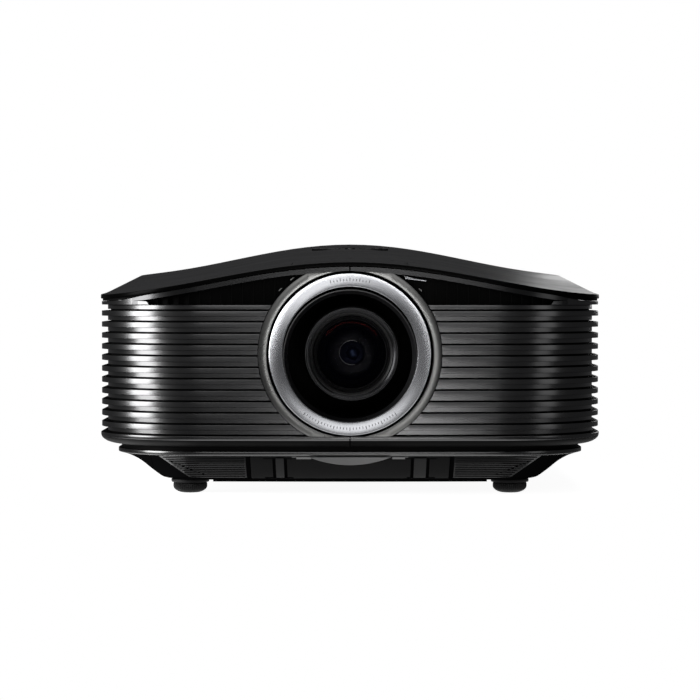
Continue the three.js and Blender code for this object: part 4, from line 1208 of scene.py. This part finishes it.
def case_loop(level, inset=0.0, z=None):
    height, side, front, rear = level
    outline = full_outline(side + inset, front + inset, rear + inset)
    return [(x, y, height if z is None else z) for x, y in outline]


def case_skin(name, outer, inner):
    """The case's flanks as a skin between two insets, below its rim strip."""
    levels = CASE_LEVELS[len(RIM_LEVELS) - 1:]
    loops = [case_loop(level, outer) for level in levels]
    loops += [case_loop(level, inner) for level in reversed(levels)]
    return loft(name, loops, ends=False)


def in_space(skin, x0, x1, z0, z1):
    return combine(skin, block("space", x0, x1, -250, -150, z0, z1), "INTERSECT")


def bottom_rim():
    """A low stiffening rim along the front edge of the underside."""
    steps = 26
    half_length = 104
    section = ((0, 11.3), (0.5, 9.7), (0.9, 9.5), (2.8, 9.5), (3.2, 11.3))
    loops = []
    for i in range(steps + 1):
        x = half_length * (2 * i / steps - 1)
        y = front_at(45.8, abs(x))
        loops.append([(x, y + back, z) for back, z in section])
    return loft("bottom_rim", loops)


def build_case():
    hollow = [level for level in CASE_LEVELS if level[0] == CASE_TOP_Z or level[0] <= FLANK_TOP_Z]
    inner = [case_loop(level, CASE_WALL, max(level[0] + 1, CASE_FLOOR_Z)) for level in hollow]
    inner[0] = case_loop(CASE_LEVELS[0], CASE_WALL)
    kept = [loop for i, loop in enumerate(inner) if i == 0 or loop[0][2] > CASE_FLOOR_Z + 0.01]
    kept.append(case_loop((CASE_FLOOR_Z, 46, 42, 26), CASE_WALL))
    outer = [case_loop(level) for level in CASE_LEVELS]
    case = loft("case", list(reversed(kept)) + outer)
    spaces = (
        (-PANEL_X - GAP, PANEL_X + GAP),
        (PANEL_X + GAP, GRILLE_X + GAP),
        (-GRILLE_X - GAP, -PANEL_X - GAP),
    )
    for x0, x1 in spaces:
        pocket = case_skin("pocket", -3, PANEL_THICK + GAP)
        cut(case, in_space(pocket, x0, x1, PANEL_LOW_Z - GAP, PANEL_HIGH_Z + GAP))
    join(case, bottom_rim())
    for side in (-1, 1):
        cut(case, rod("foot_hole", [(4.6, 5), (4.6, 60)], (side * FOOT_X, FRONT_FOOT_Y, 0), "Z", 32))
    cut(case, block("door_hole", *LAMP_DOOR_HOLE, 5, 25))
    show(case, "root", "gloss_black", "flank", "bottom_case")
    pad = block("ceiling_pad", *CEILING_PAD, 10.4, 12)
    x0, x1, y0, y1 = CEILING_PAD
    for y in (y0 + PAD_HOLE_INSET, y1 - PAD_HOLE_INSET):
        for x in (x0 + PAD_HOLE_INSET, x1 - PAD_HOLE_INSET):
            cut(pad, rod("pad_hole", [(2.2, 9), (2.2, 11.4)], (x, y, 0), "Z", 32))
    join(case, pad)
    # Painted shade: the case above the rim strip, behind the lip, gets the near-black look.
    darken(case, "deep", lambda middle, normal: middle.z > 34)
    strip = loft("rim_strip", [case_loop(level) for level in STRIP_LEVELS], ends=False)
    show(strip, "root", "gloss_black", "strip")


RIBS = ((-55.5, -49.6), (48, 57))
RIB_SLOT = 2.2
RIB_EDGE = 0.3
TABS = ((-40, -29), (31.5, 41))
TAB_LOW_Z = 28.9
TAB_HIGH_Z = 30.5


def on_one_of(spans, low, high):
    """A test for faces within one of the spans across, between two heights."""
    def chosen(middle, normal):
        return low < middle.z < high and any(x0 - 0.05 < middle.x < x1 + 0.05 for x0, x1 in spans)

    return chosen


def in_rib_slot(middle, normal):
    outside = [max(x0 - middle.x, middle.x - x1) for x0, x1 in RIBS]
    beside = any(RIB_EDGE - 0.05 < out < RIB_EDGE + RIB_SLOT + 0.05 for out in outside)
    return beside and RIB_LOW_Z - 0.1 < middle.z < RIB_HIGH_Z + 0.1


def build_front_panel():
    """The panel under the lip: a moulded skin with two latch ribs, two tabs and the half-moon chin."""
    panel = in_space(case_skin("front_panel", 0, PANEL_THICK), -PANEL_X, PANEL_X, PANEL_LOW_Z, PANEL_HIGH_Z)
    for x0, x1 in RIBS:
        join(panel, in_space(case_skin("rib", -0.9, 1), x0, x1, RIB_LOW_Z, RIB_HIGH_Z))
        for slot_x in (x0 - RIB_EDGE - RIB_SLOT, x1 + RIB_EDGE):
            slot = in_space(case_skin("slot", -2, 1.8), slot_x, slot_x + RIB_SLOT, RIB_LOW_Z, RIB_HIGH_Z)
            cut(panel, slot)
    for x0, x1 in TABS:
        join(panel, in_space(case_skin("tab", -0.8, 1), x0, x1, TAB_LOW_Z, TAB_HIGH_Z))
    show(panel, "root", "gloss_black", "satin", "front_lower_panel")
    darken(panel, "rib", on_one_of(RIBS, RIB_LOW_Z, RIB_HIGH_Z))
    # Painted shade: the slots beside the ribs get the non-reflecting black.
    darken(panel, "flank", in_rib_slot)
    # Painted highlight: the two tabs get the chin's lighter satin.
    darken(panel, "chin", on_one_of(TABS, TAB_LOW_Z, TAB_HIGH_Z + 0.05))

    radius = 82.4
    top_z = 30.9
    start = math.asin((LENS_Z - top_z) / radius)
    steps = 40
    outline = []
    for i in range(steps + 1):
        angle = math.pi + start + (math.pi - 2 * start) * i / steps
        outline.append((radius * math.cos(angle), LENS_Z + radius * math.sin(angle)))
    chin = rounded(upright("chin", outline, FRONT_Y + 4.5, FRONT_Y + 7.5), 0.35, 3)
    show(chin, "root", "fins", "chin", "lens_chin")


def build_grilles():
    """Louvred corner grilles, with a slanting row of square holes and a plain outer end."""
    first_x = PANEL_X + 3.5
    low_z, high_z = 12.9, 30.6
    slant = 1.25
    low_x = 121.5
    hatch = [(first_x, low_z), (low_x, low_z), (low_x + (high_z - low_z) * slant, high_z), (first_x, high_z)]
    space = (PANEL_X + 0.6, GRILLE_X, PANEL_LOW_Z, PANEL_HIGH_Z)
    whole = in_space(case_skin("right_grille", 0, PANEL_THICK), *space)
    plain = in_space(case_skin("right_plain", 0, PANEL_THICK), *space)
    grille = combine(whole, upright("hatch", hatch, -250, -150), "INTERSECT")
    cut(plain, upright("hatch", hatch, -250, -150))
    pitch = 1.55
    rows = 11
    louvres = None
    for i in range(rows):
        z = 13.6 + i * pitch
        end_x = low_x - 1.5 + (z - low_z) * slant
        louvre = block("louvre", first_x + 1, end_x, -250, -150, z, z + 0.75)
        louvres = louvre if louvres is None else join(louvres, louvre)
    cut(grille, combine(louvres, case_skin("depth", -2, 0.8), "INTERSECT"))
    holes = 9
    for i in range(holes):
        share = i / (holes - 1)
        x = 111 + 23 * share
        z = 16 + 10 * share
        cut(grille, in_space(case_skin("hole", -2, 1.7), x - 1.0, x + 1.0, z - 0.55, z + 0.55))
    show(grille, "root", "matte_black", "grille", "right_lower_grille")
    # Painted shade: the louvres' upper and lower faces get the near-black look.
    darken(grille, "deep", lambda middle, normal: abs(normal.z) > 0.93)
    show(plain, "root", "matte_black", "flank")
    show(mirrored(grille, "left_grille"), "root", "matte_black", None, "left_lower_grille")
    show(mirrored(plain, "left_plain"), "root", "matte_black", "flank")


def knurled(name, centre, levels, ridges):
    """A knob turned about Z from (height, radius, knurl depth) levels."""
    per_ridge = 4
    steps = ridges * per_ridge
    loops = []
    for z, radius, depth in levels:
        loop = []
        for i in range(steps):
            r = radius - depth * (0.5 - 0.5 * math.cos(2 * math.pi * i / per_ridge))
            loop.append(place_round(centre, "Z", r, z, 2 * math.pi * i / steps))
        loops.append(loop)
    return loft(name, loops, 50)


def build_feet():
    knob_levels = [(0, 6.4, 0), (0.2, 7.6, 0), (0.8, 9.3, 0), (1.6, 10.8, 0.1), (2.4, 11.8, 0.45),
                   (3.4, 12.6, 0.65), (4.6, 13.0, 0.65), (6.9, 13.0, 0.65), (7.4, 12.7, 0.5),
                   (7.6, 12.2, 0.1)]
    for name, side in (("left", -1), ("right", 1)):
        centre = (side * FOOT_X, FRONT_FOOT_Y, 0)
        knob = knurled(name + "_knob_grip", centre, knob_levels, 52)
        cut(knob, rod("knob_bore", [(4.4, 2.6), (4.4, 9)], centre, "Z", 32))
        show(knob, name + "_knob", "rubber", "rubber", name + "_foot_knob")
        stud = [(4.0, 3.0)]
        z = 3.4
        while z < 43:
            stud += [(4.0, z), (3.6, z + 0.5)]
            z += 1.0
        stud += [(3.8, 43.6), (3.2, 44)]
        thread = rod(name + "_thread", stud, centre, "Z", 32, 60)
        flange = [(13.8, 8.0), (14.3, 8.2), (14.5, 8.6), (14.5, 10.1), (14.3, 10.45), (13.8, 10.6)]
        join(thread, rod("flange", flange, centre, "Z", 64))
        show(thread, name + "_stud", "matte_black", "matte", name + "_foot_stud")
        rear = [(9.8, 0), (10.5, 0.2), (11, 0.9), (11, 4.2), (10.5, 4.6), (10.5, 5.2), (11, 5.6), (11, 10.2),
                (10.6, 10.7)]
        pad = rod(name + "_rear_pad", rear, (side * FOOT_X, REAR_FOOT_Y, 0), "Z", 64)
        show(pad, "root", "rubber", "rubber", name + "_rear_foot")


build_case()
build_front_panel()
build_grilles()
build_feet()


# ---- Rear panel ----
BANK_X = 18
BANK_Z = 72
BANK_HALF_WIDTH = 82
BANK_HALF_HEIGHT = 20
PLATE_Y = 242.5
REAR_PANEL_Y = 243.5


def screw(name, x, z, y, radius, slot):
    """A pan-head screw with a cross recess, facing the rear."""
    head = rod(name, [(radius, y - 1), (radius, y + 0.5), (radius - 0.6, y + 1.0)], (x, 0, z), steps=32)
    arm = radius * 0.6
    cut(head, block("slot", x - arm, x + arm, y + 0.5, y + 2, z - 0.35, z + 0.35))
    cut(head, block("slot", x - 0.35, x + 0.35, y + 0.5, y + 2, z - arm, z + arm))
    return show(head, "root", slot, "steel")


def slanted(x, z, half_width, half_height, lean):
    """The outline of a socket shell that narrows downwards."""
    return [(x - half_width, z + half_height), (x + half_width, z + half_height),
            (x + half_width - lean, z - half_height), (x - half_width + lean, z - half_height)]


# Parts of a round socket: name, look (or the socket's own colour), steps round, and section,
# as radius and distance out of the plate.
ROUND_SOCKET = (
    ("collar", None, 48, [(3.0, -0.5), (3.0, 1.2), (5.0, 1.2), (5.3, 0.9), (5.3, -0.5)]),
    ("barrel", "steel", 48, [(2.2, -0.5), (2.2, 3.3), (2.4, 3.5), (3.4, 3.5), (3.7, 3.2), (3.7, -0.5)]),
    ("core", "hole", 24, [(0.8, -0.5), (0.8, 2.4), (2.25, 2.4), (2.25, -0.5)]),
)
JACK = [(1.8, -0.5), (1.8, 1.6), (2.4, 2.2), (3.6, 2.2), (4.0, 1.8), (4.0, -0.5)]


def socket_part(name, section, centre, look, steps):
    piece = turned(name, [(r, PLATE_Y + out) for r, out in section], centre, steps)
    show(piece, "root", "steel", look)


def build_bank():
    """The socket plate: two video sockets, six round ones, three pin sockets and a jack."""
    plate = block("bank_plate", BANK_X - BANK_HALF_WIDTH, BANK_X + BANK_HALF_WIDTH, PLATE_Y - 4, PLATE_Y,
                  BANK_Z - BANK_HALF_HEIGHT, BANK_Z + BANK_HALF_HEIGHT)
    video_z = BANK_Z + 7.75
    video_places = (BANK_X - 66, BANK_X - 44)
    for x in video_places:
        low, high = video_z - 2.75, video_z + 2.75
        cut(plate, block("opening", x - 7.5, x + 7.5, PLATE_Y - 3.5, PLATE_Y + 1, low, high))
    show(plate, "root", "steel", "plate", "connector_bank")

    for i, x in enumerate(video_places):
        liner = upright(f"video_shell_{i}", slanted(x, video_z, 7.3, 2.6, 1.2), PLATE_Y - 3, PLATE_Y + 0.5)
        cut(liner, upright("inside", slanted(x, video_z, 6.7, 2.0, 1.2), PLATE_Y - 2.6, PLATE_Y + 2))
        show(liner, "root", "steel", "steel")
        tongue = block(f"video_tongue_{i}", x - 5, x + 5, PLATE_Y - 2.8, PLATE_Y - 0.3,
                       video_z - 0.5, video_z + 0.5)
        show(tongue, "root", "steel", "hole")

    for i, color in enumerate(("red", "blue", "green", "red", "hole", "yellow")):
        centre = (BANK_X - 22 + i * 15, 0, BANK_Z + 8)
        for part, look, steps, section in ROUND_SOCKET:
            socket_part(f"socket_{part}_{i}", section, centre, look or color, steps)

    pin_z = BANK_Z - 8.5
    for i, (offset, color) in enumerate(((-58, "blue"), (-20, "hole"), (20, "hole"))):
        x = BANK_X + offset
        shell = upright(f"pin_shell_{i}", slanted(x, pin_z, 9, 4.4, 1.2), PLATE_Y - 0.5, PLATE_Y + 2.6)
        cut(shell, upright("inside", slanted(x, pin_z, 8.4, 3.8, 1.2), PLATE_Y + 0.4, PLATE_Y + 4))
        show(shell, "root", "steel", "steel")
        core = upright(f"pin_core_{i}", slanted(x, pin_z, 8, 3.4, 1.2), PLATE_Y, PLATE_Y + 1.8)
        for row in (1.9, 0, -1.9):
            for k in range(5):
                pin_x = x + (k - 2) * 2.5
                cut(core, block("pin", pin_x - 0.45, pin_x + 0.45, PLATE_Y + 0.9, PLATE_Y + 3,
                                pin_z + row - 0.45, pin_z + row + 0.45))
        show(core, "root", "steel", color)
        for side in (-1, 1):
            section = [(2.3, PLATE_Y - 0.5), (2.3, PLATE_Y + 1.9), (2.0, PLATE_Y + 2.2)]
            nut = rod(f"pin_nut_{i}_{side}", section, (x + side * 12.2, 0, pin_z), steps=6)
            show(nut, "root", "steel", "steel")

    socket_part("jack", JACK, (BANK_X + 52, 0, BANK_Z - 8), "hole", 48)
    for i, (x, z) in enumerate(((-78, 15.5), (78, 15.5), (-78, -15.5), (78, -15.5))):
        screw(f"bank_screw_{i}", BANK_X + x, BANK_Z + z, PLATE_Y, 2.2, "steel")


def build_rear():
    build_bank()
    places = ((-140, 138), (0, 152), (140, 138), (-140, 45), (0, 45), (140, 45))
    for i, (x, z) in enumerate(places):
        screw(f"panel_screw_{i}", x, z, REAR_PANEL_Y, 3.0, "matte_black")
    dot = rod("switch_mark", [(0.8, REAR_PANEL_Y - 0.2), (0.8, REAR_PANEL_Y + 0.2)], (-90, 0, 77), steps=24)
    show(dot, "root", "matte_black", "mark")


build_rear()


# ---- Frame nodes that stay ----
NODE_LOOKS = {
    "gloss": ["ac_inlet"],
    "deep": ["vertical_carriage", "horizontal_carriage", "shift_base"],
    "matte": ["lamp_housing", "lamp_door", "exhaust_fan_frame", "exhaust_fan_rotor", "intake_fan_frame",
              "intake_fan_rotor", "rear_panel", "power_rocker"],
    "glass": ["colour_wheel"],
    "rubber": ["vertical_shift_dial", "horizontal_shift_dial"],
    "steel": ["dial_bracket", "colour_wheel_motor"],
    "aluminium": ["light_engine_housing", "chip_heatsink", "power_supply"],
    "board": ["imaging_board", "main_board"],
    "ceramic": ["lamp_burner"],
    "mirror": ["lamp_reflector"],
}


def finish_node(name, material):
    node = nodes[name]
    node.data.materials.clear()
    node.data.materials.append(material)
    node.data.shade_smooth()
    weld = node.modifiers.new("weld", "WELD")
    weld.merge_threshold = 0.00001
    edges = node.modifiers.new("sharp edges", "EDGE_SPLIT")
    edges.split_angle = math.radians(35)


for look, names in NODE_LOOKS.items():
    for name in names:
        finish_node(name, LOOKS[look])
